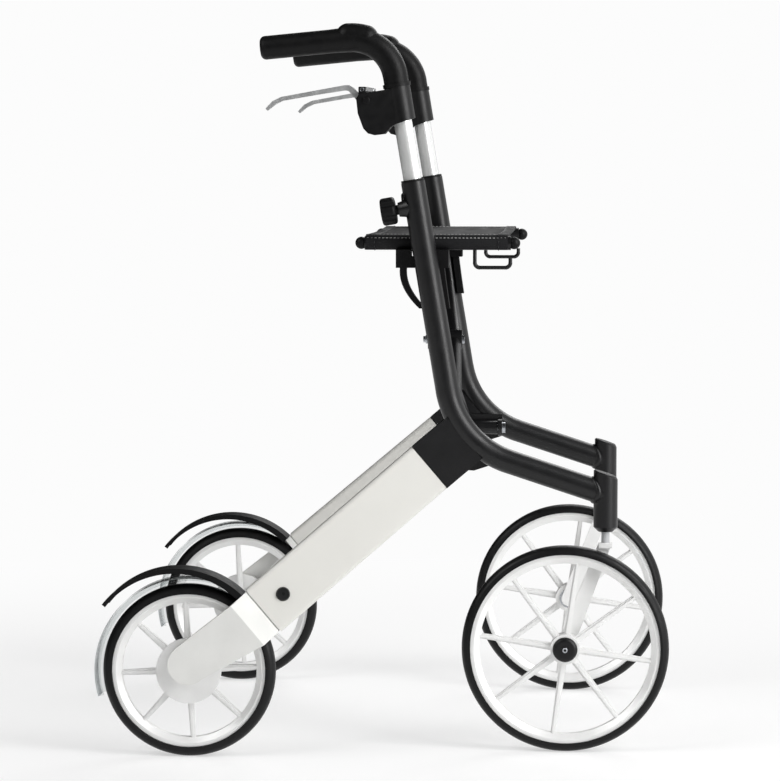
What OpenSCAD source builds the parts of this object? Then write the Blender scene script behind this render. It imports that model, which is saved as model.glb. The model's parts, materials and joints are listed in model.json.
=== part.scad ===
// All-terrain rollator: two mirrored side frames joined by a folding cross.
// Millimetres, +X forward, +Y to the user's left, +Z up, origin on the ground under the middle.

/* [Stance] */
// Distance between the front and rear axles
wheelbase = 448.5; // [430:0.5:480]
// Distance between the middle planes of the front wheels
front_track = 458; // [450:1:480]
// Distance between the middle planes of the rear wheels
rear_track = 576; // [560:1:600]
// Distance between the axes of the two main tubes
frame_track = 430; // [420:1:440]

/* [Front wheels] */
// Outer diameter of a front tyre
front_wheel_d = 250; // [244:1:254]
// Radial height of a front tyre
front_tyre_h = 10.6; // [8:0.1:13]
// Distance of the steering axis ahead of the front axle
caster_trail = 47.8; // [44:0.1:52]

/* [Rear wheels] */
// Outer diameter of a rear tyre
rear_wheel_d = 208; // [202:1:210]
// Radial height of a rear tyre
rear_tyre_h = 12; // [9:0.1:14]
// Diameter of the brake drum on the rear hub
drum_d = 78; // [70:1:84]
// Depth of the brake drum beside the spokes
drum_t = 7; // [5:0.1:7]

/* [Wheel build] */
// Width of every tyre
tyre_w = 24; // [20:0.5:25]
// Radial height of the rim under the tyre
rim_h = 11; // [9:0.5:14]
// Width of the rim
rim_w = 19; // [15:0.5:19]
// Number of spokes in a wheel
spoke_count = 8; // [6:1:10]
// Width of a spoke at the hub
spoke_root_w = 9; // [7:0.5:10]
// Width of a spoke at the rim
spoke_tip_w = 5.5; // [4:0.5:7]
// Diameter of the wheel hubs
hub_d = 36; // [32:1:40]
// Length of the wheel hubs
hub_l = 26; // [22:0.5:26]
// Diameter of the wheel axles
axle_d = 10; // [8:0.5:11]
// Outer diameter of a wheel bearing
bearing_d = 26; // [22:0.5:27]
// Width of a wheel bearing
bearing_w = 8; // [6:0.5:9]
// Diameter of the front hub cap
hub_cap_d = 30; // [26:0.5:34]

/* [Main tubes] */
// Outer diameter of the main tube
main_d = 29; // [27:0.5:30]
// Wall of the main tube
main_wall = 2; // [1.5:0.1:2.2]
// Lean of the upper main tube to the rear, degrees
main_lean = 9.5; // [8:0.1:11]
// Distance of the tube mouth ahead of the rear axle
main_top_reach = 263.5; // [255:0.5:270]
// Height of the tube mouth
main_top_z = 686; // [670:1:700]
// Drop of the lower main tube to the front, degrees
main_drop = 18.2; // [16:0.1:20]
// Bend radius of the main tube
main_bend_r = 110; // [95:1:120]
// Height at which the lower tube meets the steering axis
main_joint_z = 311; // [306:0.5:314]

/* [Steering head] */
// Diameter of the head tube
head_d = 29; // [27:0.5:31]
// Height of the top of the head tube
head_top_z = 336; // [333:0.5:345]
// Length of the head tube
head_l = 70.5; // [62:0.5:72]
// Diameter of the fork spindle
spindle_d = 12; // [10:0.5:13]
// Width of the fork blade
blade_w = 16; // [13:0.5:18]
// Thickness of the fork blade
blade_t = 7; // [6:0.1:7.5]

/* [Legs] */
// Width of the leg profile
leg_w = 65.6; // [60:0.2:68]
// Thickness of the leg profile
leg_t = 27; // [25:0.5:28]
// Wall of the leg profile
leg_wall = 2; // [1.5:0.1:3]
// Slope of the leg below level, degrees
leg_slope = 40.5; // [39:0.1:42]
// Room between the leg end and the rear tyre
leg_end_gap = 10; // [9:0.5:13]
// Diameter of the screw head near the leg end
leg_screw_d = 17; // [12:0.5:20]
// Distance of that screw from the leg end
leg_screw_reach = 28; // [20:0.5:40]

/* [Wheel arms] */
// Width of the wheel arm at its top
arm_top_w = 61; // [56:0.5:63]
// Radius of the round end of the wheel arm
arm_end_r = 24; // [20:0.5:26]
// Thickness of the wheel arm
arm_t = 21; // [18:0.5:23]
// Length of the slanted jog between leg and arm
jog_l = 20; // [16:0.5:24]

/* [Guards] */
// Radius of the mudguard
mudguard_r = 114; // [113:0.5:118]
// Width of the mudguard
mudguard_w = 38; // [36:0.5:40]
// Depth of the mudguard's side lips
mudguard_lip = 8; // [6:0.5:9]
// Thickness of the mudguard
mudguard_t = 2.4; // [2:0.1:2.6]
// Width of the spray guard
spray_w = 30; // [28:0.5:31]
// Depth of the spray guard's side walls
spray_h = 7; // [5:0.5:7]
// Thickness of the spray guard
spray_t = 1.5; // [1:0.1:2]

/* [Folding cross and seat] */
// Distance of the seat rails and the pivots inside the main tubes
rail_inset = 28; // [27.5:0.1:30]
// Height of the seat rails
rail_z = 612; // [606:1:618]
// Height of the lower pivots of the cross
pivot_z = 356; // [352:0.5:360]
// Outer diameter of a seat rail
rail_d = 17; // [15:0.5:17]
// Length of a seat rail without its caps
rail_l = 177; // [170:1:190]
// Diameter of the cross tubes
brace_d = 19; // [17:0.5:19.5]
// Diameter of the pivot bolts
bolt_d = 8; // [6:0.5:9]
// Thickness of the seat cloth
cloth_t = 1.4; // [1:0.1:1.6]
// Length of the seat cloth along the rails
cloth_l = 172; // [160:1:173]
// Sag of the seat cloth at its middle
cloth_sag = 2; // [1:0.5:10]
// Diameter of the bag hook wire
hook_wire_d = 4.6; // [4:0.1:5.5]
// Length of the bag hook along the rail
hook_l = 43; // [36:0.5:46]
// Drop of the bag hook below the rail axis
hook_drop = 32; // [28:0.5:36]

/* [Handles] */
// Diameter of the chromed handle tube
handle_d = 22; // [20:0.5:22.5]
// Wall of the handle tube
handle_wall = 1.5; // [1.2:0.1:2]
// Length of handle tube inside the main tube as shown
handle_insert = 170; // [150:1:175]
// Rise of the handle's bend corner above the tube mouth as shown
handle_rise = 175; // [164:0.5:184]
// Diameter of the grip
grip_d = 28.5; // [26:0.5:30]
// Length of the grip behind the bend corner
grip_l = 155; // [140:1:160]
// Rise of the grip to the front, degrees
grip_rise = 5.5; // [3:0.1:8]
// Bend radius of the handle neck
neck_bend_r = 52; // [48:0.5:56]
// Thickness of the brake housing
housing_t = 29; // [27:0.5:31]
// Thickness of the brake lever
lever_t = 11; // [9:0.5:13]
// Diameter of the height knob
knob_d = 34; // [28:0.5:36]
// Depth of the height knob
knob_l = 18; // [14:0.5:20]

/* [Hidden] */
$fn = 64;
// Overrun of every cut past the face it opens
over = 1;
// Radial clearance of a running fit
run = 0.05;
// Clearance between seated or coped faces
seat_gap = 0.1;
// Working room between moving neighbours
free_gap = 0.6;
// Extra radius of a bent tube in its bend
bend_swell = 0.15;

// Room between the rear tyre and the inside of the spray guard
spray_room = 1.5;
front_r = front_wheel_d / 2;
rear_r = rear_wheel_d / 2;
spray_r = rear_r + spray_room + spray_h;
overall_l = spray_r + wheelbase + front_r;
rear_x = spray_r - overall_l / 2;
front_x = rear_x + wheelbase;
front_y = front_track / 2;
rear_y = rear_track / 2;
main_y = frame_track / 2;
rail_y = main_y - rail_inset;

// Centre line of the main tube in the side plane
main_top = [rear_x + main_top_reach, main_top_z];
head_x = front_x + caster_trail;
head_joint = [head_x, main_joint_z];
main_corner_x = (main_top[0] + (main_top_z - main_joint_z - head_x * tan(main_drop)) * tan(main_lean))
    / (1 - tan(main_drop) * tan(main_lean));
main_corner = [main_corner_x, main_joint_z + (head_x - main_corner_x) * tan(main_drop)];
main_turn = 90 - main_lean - main_drop;
main_tangent_l = main_bend_r * tan(main_turn / 2);
main_upper_l = norm(main_top - main_corner) - main_tangent_l;
main_lower_l = norm(head_joint - main_corner) - main_tangent_l;
main_bore = main_d - 2 * main_wall;
function main_x(z) = main_top[0] + (main_top_z - z) * tan(main_lean);

// Steering head and fork
head_bottom_z = head_top_z - head_l;
head_chamfer = 1.2;
head_taper = 5.5;
fork_room = 2;
blade_y = front_y - hub_l / 2 - free_gap - blade_t;
crown_h = 6;
crown_z = front_r + sqrt(pow(front_r, 2) - pow(caster_trail - blade_w / 2, 2)) + fork_room;
spindle_top_gap = 14;
blade_axle_r = 10;
blade_round_a = 150;
stem_step = 2;
stem_neck_d = spindle_d - stem_step;

// Rear leg frame: u runs up the leg from the rear axle, v is square to it in the side plane
leg_dir = [cos(leg_slope), sin(leg_slope)];
leg_end_u = rear_r + leg_end_gap;
// Height of the middle of the upper leg end on its axis
leg_top_z = 345;
leg_v = -3.2;
socket_l = 55.4;
leg_top_u = (leg_top_z - rear_r) / leg_dir[1];
leg_corner_r = 5;
leg_screw_face_share = 0.85;
corner_steps = 6;
// Middle plane of the leg at its top and at its end
leg_top_shift = -1;
leg_end_shift = 4;
leg_top_y = main_y + leg_top_shift;
leg_end_y = rear_y - leg_end_shift;
leg_splay = atan((leg_end_y - leg_top_y) / (leg_top_u - leg_end_u));
leg_run_l = (leg_top_u - leg_end_u) / cos(leg_splay);
// Open line between the leg and the wheel arm, and the plug that bridges it inside the leg
leg_end_line = 1.6;
plug_l = 18;
plug_sink = 4;
leg_screw_h = 3;

// Wheel arm
arm_room = 3;
arm_in_y = rear_y + hub_l / 2 + arm_room;
arm_out_y = arm_in_y + arm_t;
arm_top_u = leg_end_u - jog_l;
arm_end_u = 8.5;
arm_end_v = 7;
jog_web_t = 8;
arm_end_turn = 4;
arm_end_steps = 24;
axle_head_d = 17;
axle_head_l = 5;
arm_axle_cover = 3;

// Brake shoe
shoe_gap = 1.6;
shoe_travel = 1.3;
shoe_h = 10;
shoe_w = 20;
slider_w = 12;
slider_l = 20;
slider_t = 8;
slide_gap = 0.2;
slider_u = drum_d / 2 + shoe_gap + slide_gap;
pad_y = rear_y + hub_l / 2 - drum_t + over;

// Guards
mudguard_shift = [-13, 9.6];
mudguard_tail_a = 142;
mudguard_root_a = 40;
mudguard_taper_shift = 3;
guard_steps = 96;
spray_start_a = 64;
spray_end_a = 196;

// Folding cross
half_rise = (rail_z - pivot_z) / 2;
centre_z = pivot_z + half_rise;
ear_t = 5;
ear_r = 11;
pivot_reach = 296;
pivot_span = 63;
pivot_rear_x = rear_x + pivot_reach;
pivot_front_x = pivot_rear_x + pivot_span;
brace_low_x = pivot_rear_x + ear_t + free_gap + brace_d / 2 + over;
brace_back = 5;
brace_mid_x = main_x(centre_z) - brace_back;
brace_gap = 3.2;
brace_a_x = brace_mid_x + (brace_d + brace_gap) / 2;
brace_b_x = brace_mid_x - (brace_d + brace_gap) / 2;
brace_top_x = main_x(rail_z);
sleeve_d = 18;
boss_d = 25;
boss_half = brace_d / 2 + over;
bolt_head_d = 14;
bolt_head_h = 4.5;
plate_t = 3.4;
lug_y = main_y - main_d / 2 - plate_t;
lug_h = 34;
lug_front_rise = 5;
lug_slope_l = 22;
bolt_tail = 3;
centre_head_d = 11;
centre_head_h = 3;

// Seat
rail_ahead = 16.1;
rail_mid_x = main_x(rail_z) + rail_ahead;
rail_cap_d = 15;
rail_cap_reach = 4;
rail_plug_l = 10;
cloth_back = 1;
cloth_mid_x = rail_mid_x - cloth_back;
cloth_gap = 0.3;
cloth_in_r = rail_d / 2 + cloth_gap;
cloth_wrap_a = -50;
saddle_w = 63.5;
saddle_back = 1.75;
saddle_block_w = 18;
saddle_block_h = 22;
saddle_foot_drop = 50;
saddle_rib = 8;
saddle_rib_t = 16;
saddle_bow = 3;
rib_steps = 10;
saddle_in = 10;
saddle_top_z = rail_z - rail_d / 2 + over;
saddle_wrap = 8;
saddle_back_y = main_y - main_d / 2 + saddle_wrap;
rail_wall = 1.8;
cloth_steps = 10;
saddle_r = cloth_in_r + cloth_t + cloth_gap;
hook_end_gap = 10;
hook_bend_r = 6;
hook_reach = 45;
hook_rear_x = rail_mid_x + hook_reach;

// Handle
collar_l = 26;
collar_flange_h = 3;
grip_corner_z = main_top_z + handle_rise;
grip_corner = [main_x(grip_corner_z), grip_corner_z];
neck_turn = 90 - main_lean + grip_rise;
neck_tangent_l = neck_bend_r * tan(neck_turn / 2);
neck_l = 9;
neck_d = 30;
ring_d = 33.5;
ring_h = 4.5;
sleeve_front_h = 40;
sleeve_back_h = 45;
sleeve_wall = 4.7;
knob_drop = 30;
knob_boss_d = 17;
knob_boss_l = 8;
knob_boss_root_d = main_d - main_wall;
knob_screw_d = 6;
knob_neck_d = 12;
knob_neck_l = 3;
knob_flute_d = 10;
knob_flutes = 6;
knob_round = 4;
screw_tip_gap = 0.4;
collar_step = 1;
grip_round_share = 0.45;
grip_taper_l = 22;
hump_d = 29;
hump_lift = 5;
hump_turn = 22;
lever_pin_d = 5;
lever_slot_gap = 0.5;
handle_top_l = norm(grip_corner - main_top) - neck_tangent_l;
// Brake housing seen from the side, behind the handle tube
housing_back = 51;
housing_h = 53;
housing_shares = [[0.1, 0.02], [0.9, 0.02], [0.98, 0.11], [1, 0.45], [0.93, 0.8], [0.84, 0.93], [0.7, 0.99],
    [0.46, 1], [0.285, 0.87], [0.1, 0.8]];
slot_shares = [[0.52, -0.1], [1.1, -0.1], [1.1, 0.44], [0.62, 0.36], [0.52, 0.26]];
// Brake lever seen from the side, from its pivot to its tip
lever_reach = 122;
lever_rise = 22;
lever_pivot_shares = [0.75, 0.19];
lever_pivot = [-lever_pivot_shares[0] * housing_back,
    handle_top_l - neck_l - ring_h - lever_pivot_shares[1] * housing_h];
lever_shares = [[-0.04, 0.18], [0.05, 0.36], [0.11, 0.82], [0.145, 0.98], [0.19, 1.02], [0.5, 1.0], [0.83, 0.97],
    [0.92, 0.82], [0.985, 0.55], [1, 0.48], [0.985, 0.36], [0.9, 0.62], [0.82, 0.75], [0.5, 0.76], [0.2, 0.74],
    [0.165, 0.68], [0.13, 0.4], [0.09, 0], [0.045, -0.24], [-0.02, -0.22]];

// Wheels
wheel_steps = 96;
tyre_steps = 14;
tyre_crown_share = 0.8;
rim_step_share = 0.4;
rim_inner_share = 0.5;
spoke_web_t = 6;
spoke_rib_t = 11;
rib_share = 0.4;
front_spoke_turn = 8;
rear_spoke_turn = -3;
hub_bore_room = 1;
hub_cap_h = 5;
cap_screw_d = 8.4;
cap_screw_h = 1;

SIDES = ["right", "left"];
SIDE_PIECES = ["main_tube", "head_tube", "leg_socket", "leg", "leg_screw", "wheel_arm", "rear_axle", "mudguard",
    "spray_guard", "brake_shoe", "seat_saddle", "tube_collar", "height_knob", "handle_tube", "grip",
    "brake_housing", "brake_lever", "fork", "front_tyre", "front_rim", "front_bearings", "front_hub_cap",
    "rear_tyre", "rear_rim", "pivot_bolt", "seat_rail", "rail_caps", "bag_hook"];

// Points of an arc, from angle a to angle b
function arc(centre, r, a, b, n) = [for (i = [0:n])
    let (t = a + (b - a) * i / n) centre + r * [cos(t), sin(t)]];

// Places a left-hand piece on its side
module on_side(side) {
    if (side == "left") children();
    else mirror([0, 1, 0]) children();
}

// Prism of a side-plane outline between two distances from the middle plane
module slab(inner_y, outer_y) {
    translate([0, outer_y, 0]) rotate([90, 0, 0]) linear_extrude(outer_y - inner_y) children();
}

// Cylinder from one point to another
module rod(start, end, d) {
    v = end - start;
    translate(start) rotate([0, acos(v[2] / norm(v)), atan2(v[1], v[0])]) cylinder(h = norm(v), d = d);
}

// Disc or pin across the part, between two distances from the middle plane
module cross_pin(centre, inner_y, outer_y, d) {
    translate([centre[0], outer_y, centre[1]]) rotate([90, 0, 0]) cylinder(h = outer_y - inner_y, d = d);
}

// Frame whose Z runs up the leaning main tube from its mouth
module along_main() {
    translate([main_top[0], main_y, main_top_z]) rotate([0, -main_lean, 0]) children();
}

// Frame of the leg: X up the leg from the rear axle, Z square to it
module along_leg() {
    translate([rear_x, 0, rear_r]) rotate([0, -leg_slope, 0]) children();
}

// The main tube's bent line as a bar of a given diameter
module main_bar(d, top_over, end_over) {
    along_main() translate([0, 0, -main_upper_l - over]) cylinder(h = main_upper_l + over + top_over, d = d);
    bend_start = main_top + main_upper_l * [sin(main_lean), -cos(main_lean)];
    bend_centre = bend_start + main_bend_r * [cos(main_lean), sin(main_lean)];
    translate([bend_centre[0], main_y, bend_centre[1]]) rotate([90, 0, 0])
        rotate([0, 0, 180 + main_lean]) rotate_extrude(angle = main_turn)
        translate([main_bend_r, 0]) circle(d = d + 2 * bend_swell);
    bend_end = head_joint + (main_lower_l + over) * [-cos(main_drop), sin(main_drop)];
    lower_end = head_joint + end_over * [cos(main_drop), -sin(main_drop)];
    rod([bend_end[0], main_y, bend_end[1]], [lower_end[0], main_y, lower_end[1]], d);
}

module knob_axis() {
    along_main() translate([0, 0, -knob_drop]) rotate([0, -90, 0]) children();
}

module main_tube() {
    color("#1d1d1f") difference() {
        union() {
            main_bar(main_d, 0, 0);
            knob_axis() cylinder(h = main_d / 2 + knob_boss_l, d1 = knob_boss_root_d, d2 = knob_boss_d);
        }
        main_bar(main_bore, over, 0);
        knob_axis() cylinder(h = main_d + knob_boss_l, d = knob_screw_d + 2 * run);
        translate([head_x, main_y, head_bottom_z - over])
            cylinder(h = head_l + head_d, d = head_d + 2 * seat_gap);
    }
}

// Steering head whose closed top slopes with the lower tube
module head_tube() {
    spindle_bore = spindle_d + 2 * run;
    cap_r = head_d / 2 - head_chamfer;
    color("#1d1d1f") translate([head_x, main_y, 0]) difference() {
        intersection() {
            rotate_extrude() polygon([
                [0, head_bottom_z], [head_d / 2 - head_taper, head_bottom_z],
                [head_d / 2, head_bottom_z + head_taper], [head_d / 2, head_top_z + head_d],
                [0, head_top_z + head_d]]);
            translate([0, 0, head_top_z]) rotate([0, main_drop, 0]) rotate_extrude() polygon([
                [0, 0], [cap_r, 0], [2 * head_l, cap_r - 2 * head_l], [2 * head_l, -2 * head_l],
                [0, -2 * head_l]]);
        }
        translate([0, 0, head_bottom_z - over])
            cylinder(h = head_l - spindle_top_gap / 2 + over, d = spindle_bore);
    }
}

// Side outline of the leg frame, as a slab between two distances from the middle plane
module leg_slab(inner_y, outer_y) {
    along_leg() slab(inner_y, outer_y) children();
}

module pivot_rod(inner_x, outer_x, y, z, d) {
    translate([inner_x, y, z]) rotate([0, 90, 0]) cylinder(h = outer_x - inner_x, d = d);
}

module ear(x) {
    pivot_rod(x, x + ear_t, rail_y, pivot_z, 2 * ear_r);
    translate([x, rail_y, pivot_z - ear_r]) cube([ear_t, lug_y + plate_t - rail_y, 2 * ear_r]);
}

module leg_socket() {
    lug_low_z = pivot_z - lug_h / 2 + lug_front_rise;
    color("#17191d") difference() {
        union() {
            leg_slab(leg_top_y - leg_t / 2, leg_top_y + leg_t / 2)
                translate([leg_top_u, leg_v - leg_w / 2]) square([socket_l, leg_w]);
            slab(lug_y, leg_top_y - leg_t / 2 + over) polygon([
                [pivot_rear_x, pivot_z + lug_h / 2], [pivot_rear_x, pivot_z - lug_h / 2],
                [pivot_front_x - lug_slope_l, lug_low_z - lug_slope_l * tan(main_drop)],
                [pivot_front_x, lug_low_z], [pivot_front_x, pivot_z + lug_h / 2]]);
            ear(pivot_rear_x);
            ear(pivot_front_x - ear_t);
        }
        main_bar(main_d + 2 * seat_gap, over, 0);
        pivot_rod(pivot_rear_x - over, pivot_front_x + over, rail_y, pivot_z, bolt_d + 2 * run);
    }
}

module leg_profile(inset) {
    w = leg_t / 2 - inset - leg_corner_r;
    h = leg_w / 2 - inset - leg_corner_r;
    polygon(concat(
        arc([w, h], leg_corner_r, 0, 90, corner_steps), arc([-w, h], leg_corner_r, 90, 180, corner_steps),
        arc([-w, -h], leg_corner_r, 180, 270, corner_steps),
        arc([w, -h], leg_corner_r, 270, 360, corner_steps)));
}

// Frame whose Z runs up the splayed axis of the leg from its lower end
module along_leg_run() {
    along_leg() translate([leg_top_u, leg_top_y, leg_v]) rotate([0, 0, -leg_splay])
        translate([-leg_run_l, 0, 0]) rotate([90, 0, 90]) children();
}

module leg() {
    color("#e9e8e3") difference() {
        intersection() {
            along_leg_run() translate([0, 0, -leg_t]) linear_extrude(leg_run_l + 2 * leg_t) difference() {
                leg_profile(0);
                leg_profile(leg_wall);
            }
            along_leg() translate([leg_end_u + leg_end_line, 0, leg_v - leg_w])
                cube([leg_top_u - leg_end_u - leg_end_line - seat_gap, rear_track, 2 * leg_w]);
        }
        along_leg() leg_screw_place() cylinder(h = leg_t, d = leg_screw_d / 2 + 2 * run, center = true);
    }
}

// Place of the screw on the outer face of the leg, with Z pointing out of it
module leg_screw_place() {
    screw_u = leg_end_u + leg_screw_reach;
    translate([screw_u, leg_top_y + (leg_top_u - screw_u) * tan(leg_splay), leg_v])
        rotate([0, 0, -leg_splay]) translate([0, leg_t / 2, 0]) rotate([-90, 0, 0]) children();
}

module leg_screw() {
    color("#151515") along_leg() leg_screw_place() {
        translate([0, 0, seat_gap])
            cylinder(h = leg_screw_h, d1 = leg_screw_d, d2 = leg_screw_d * leg_screw_face_share);
        translate([0, 0, -leg_wall * 2]) cylinder(h = leg_wall * 2 + over, d = leg_screw_d / 2);
    }
}

module wheel_arm() {
    top_v = leg_v + arm_top_w / 2;
    low_v = leg_v - arm_top_w / 2;
    leg_side = leg_t / 2 / cos(leg_splay);
    web_u = leg_end_u - jog_web_t;
    color("#dfdeda") difference() {
        union() {
            leg_slab(arm_in_y, arm_out_y) polygon(concat([[arm_top_u, low_v], [arm_top_u, top_v]],
                arc([arm_end_u, arm_end_v], arm_end_r, 90 - arm_end_turn, 270 + arm_end_turn, arm_end_steps)));
            along_leg_run() translate([0, 0, -plug_sink]) linear_extrude(plug_sink + plug_l)
                leg_profile(leg_wall + free_gap);
            along_leg() translate([0, 0, low_v]) linear_extrude(arm_top_w) polygon([
                [leg_end_u, leg_end_y - leg_side], [leg_end_u, leg_end_y + leg_side], [arm_top_u, arm_out_y],
                [arm_top_u, arm_in_y], [web_u, arm_in_y], [web_u, leg_end_y - leg_side]]);
        }
        cross_pin([rear_x, rear_r], arm_in_y - over, arm_out_y - arm_axle_cover, axle_d + 2 * run);
        along_leg() translate([slider_u - shoe_travel - free_gap, arm_in_y - over, -slider_w / 2 - slide_gap])
            cube([slider_l + shoe_travel + free_gap + slide_gap, slider_t + slide_gap + over,
                slider_w + 2 * slide_gap]);
    }
}

module brake_shoe() {
    pad_u = drum_d / 2 + shoe_gap;
    color("#3a3a3c") along_leg() {
        difference() {
            translate([drum_d / 2, pad_y, -shoe_w / 2])
                cube([shoe_gap + shoe_h, arm_in_y - slide_gap - pad_y, shoe_w]);
            translate([0, pad_y - over, 0]) rotate([-90, 0, 0]) cylinder(h = drum_t + arm_t, r = pad_u);
        }
        translate([slider_u, arm_in_y - slide_gap - over, -slider_w / 2])
            cube([slider_l, slider_t + over, slider_w]);
    }
}

module rear_axle() {
    head_in = rear_y - hub_l / 2 - free_gap - axle_head_l;
    color("#b9bcc0") {
        cross_pin([rear_x, rear_r], head_in + axle_head_l / 2, arm_out_y - arm_axle_cover - slide_gap, axle_d);
        cross_pin([rear_x, rear_r], head_in, head_in + axle_head_l, axle_head_d);
    }
}

// Channel swept round an axis across the part, open to the inside
module channel(centre, r, w, depth, t, from_a, to_a) {
    translate([centre[0], rear_y, centre[1]]) rotate([90, 0, 0]) rotate([0, 0, from_a])
        rotate_extrude(angle = to_a - from_a, $fn = guard_steps) polygon([
            [r, -w / 2], [r, w / 2], [r - depth, w / 2], [r - depth, w / 2 - t], [r - t, w / 2 - t],
            [r - t, t - w / 2], [r - depth, t - w / 2], [r - depth, -w / 2]]);
}

module mudguard() {
    centre = [rear_x, rear_r] + mudguard_shift;
    taper_centre = centre + mudguard_taper_shift * [cos(mudguard_tail_a), sin(mudguard_tail_a)];
    color("#17181a") difference() {
        channel(centre, mudguard_r, mudguard_w, mudguard_lip, mudguard_t, mudguard_root_a, mudguard_tail_a);
        cross_pin(taper_centre, rear_y - mudguard_w, rear_y + mudguard_w, 2 * (mudguard_r - mudguard_lip));
        along_leg() translate([0, 0, leg_v - arm_top_w / 2])
            cube([leg_end_u + mudguard_r, rear_track, arm_top_w + seat_gap]);
    }
}

module spray_guard() {
    color("#e4e8ea", 0.5)
        channel([rear_x, rear_r], spray_r, spray_w, spray_h, spray_t, spray_start_a, spray_end_a);
}

// Curved strip between two outlines that share a bow
module saddle_rib(top_x, foot_x, bow) {
    top_z = saddle_top_z - saddle_block_h + over;
    foot_z = top_z - saddle_foot_drop;
    function rib_x(t) = (1 - t) * (1 - t) * top_x + 2 * t * (1 - t) * (top_x + bow) + t * t * foot_x;
    points = [for (i = [0:rib_steps]) [rib_x(i / rib_steps), top_z + (foot_z - top_z) * i / rib_steps]];
    slab(saddle_back_y - saddle_rib_t, saddle_back_y) polygon(concat(
        [for (p = points) p - [saddle_rib / 2, 0]],
        [for (i = [rib_steps:-1:0]) points[i] + [saddle_rib / 2, 0]]));
}

module seat_saddle() {
    cx = brace_top_x - saddle_back;
    low_z = saddle_top_z - saddle_block_h;
    foot_x = main_x(low_z - saddle_foot_drop);
    color("#161617") difference() {
        union() {
            for (s = [-1, 1]) {
                slab(rail_y - saddle_in, saddle_back_y)
                    translate([cx + s * (saddle_w - saddle_block_w) / 2 - saddle_block_w / 2, low_z])
                    square([saddle_block_w, saddle_block_h]);
                saddle_rib(cx + s * (saddle_w - saddle_block_w) / 2, foot_x + s * main_d / 2, s * saddle_bow);
            }
            slab(lug_y, saddle_back_y) translate([cx - saddle_w / 2, low_z])
                square([saddle_w, saddle_block_h - saddle_rib]);
        }
        main_bar(main_d + 2 * seat_gap, over, 0);
        pivot_rod(cx - saddle_w, cx + saddle_w, rail_y, rail_z, 2 * saddle_r);
    }
}

module tube_collar() {
    color("#101011") along_main() difference() {
        union() {
            translate([0, 0, -collar_l]) cylinder(h = collar_l + over, d = main_bore - 2 * run);
            translate([0, 0, seat_gap]) cylinder(h = collar_flange_h, d = main_d - collar_step);
        }
        translate([0, 0, -collar_l - over])
            cylinder(h = collar_l + collar_flange_h + 3 * over, d = handle_d + 2 * run);
    }
}

module height_knob() {
    seat = main_d / 2 + knob_boss_l + seat_gap;
    back = seat + knob_neck_l;
    color("#131314") knob_axis() {
        translate([0, 0, handle_d / 2 + screw_tip_gap]) cylinder(h = back - handle_d / 2, d = knob_screw_d);
        translate([0, 0, seat]) cylinder(h = knob_neck_l + over, d = knob_neck_d);
        translate([0, 0, back]) difference() {
            rotate_extrude() polygon(concat([[0, 0], [knob_d / 2 - knob_round, 0]],
                arc([knob_d / 2 - knob_round, knob_round], knob_round, -90, 0, corner_steps),
                arc([knob_d / 2 - knob_round, knob_l - knob_round], knob_round, 0, 90, corner_steps),
                [[0, knob_l]]));
            for (i = [0:knob_flutes - 1]) rotate([0, 0, i * 360 / knob_flutes])
                translate([knob_d / 2 + knob_flute_d / 4, 0, -over])
                cylinder(h = knob_l + 2 * over, d = knob_flute_d);
        }
    }
}

module handle_tube() {
    color("#d5d7da") along_main() difference() {
        translate([0, 0, -handle_insert]) cylinder(h = handle_insert + handle_top_l, d = handle_d);
        translate([0, 0, -handle_insert - over])
            cylinder(h = handle_insert + handle_top_l + 2 * over, d = handle_d - 2 * handle_wall);
    }
}

// Round hump on the outside of the handle bend, where the thumb rests
module grip_hump() {
    hump_r = neck_bend_r + hump_lift;
    translate([-neck_bend_r, 0, handle_top_l]) rotate([0, hump_turn - neck_turn, 0]) {
        rotate([90, 0, 0]) rotate_extrude(angle = hump_turn) translate([hump_r, 0]) circle(d = hump_d);
        for (turn = [0, hump_turn]) rotate([0, -turn, 0])
            translate([hump_r, 0, 0]) sphere(d = hump_d + 2 * bend_swell);
    }
}

module grip() {
    round_r = grip_d / 2 * grip_round_share;
    straight_l = grip_l - neck_tangent_l;
    color("#151516") along_main() difference() {
        union() {
            translate([0, 0, handle_top_l - neck_l]) cylinder(h = neck_l, d = neck_d);
            translate([0, 0, handle_top_l - neck_l - ring_h]) cylinder(h = ring_h, d = ring_d);
            translate([-neck_bend_r, 0, handle_top_l]) rotate([90, 0, 0])
                rotate_extrude(angle = neck_turn) translate([neck_bend_r, 0])
                circle(d = neck_d + 2 * bend_swell);
            translate([-neck_bend_r, 0, handle_top_l]) rotate([0, -neck_turn, 0]) translate([neck_bend_r, 0, 0])
                rotate_extrude() polygon(concat([[0, 0], [neck_d / 2, 0], [grip_d / 2, grip_taper_l]],
                    arc([grip_d / 2 - round_r, straight_l - round_r], round_r, 0, 90, corner_steps),
                    [[0, straight_l]]));
            grip_hump();
        }
        translate([0, 0, handle_top_l - neck_l - ring_h - over])
            cylinder(h = neck_l + ring_h + over + seat_gap, d = handle_d + 2 * run);
    }
}

// Points given as shares of a depth behind the handle tube and of a height below the housing's top
function housing_points(shares) =
    [for (s = shares) [-s[0] * housing_back, handle_top_l - neck_l - ring_h - seat_gap - s[1] * housing_h]];

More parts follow.
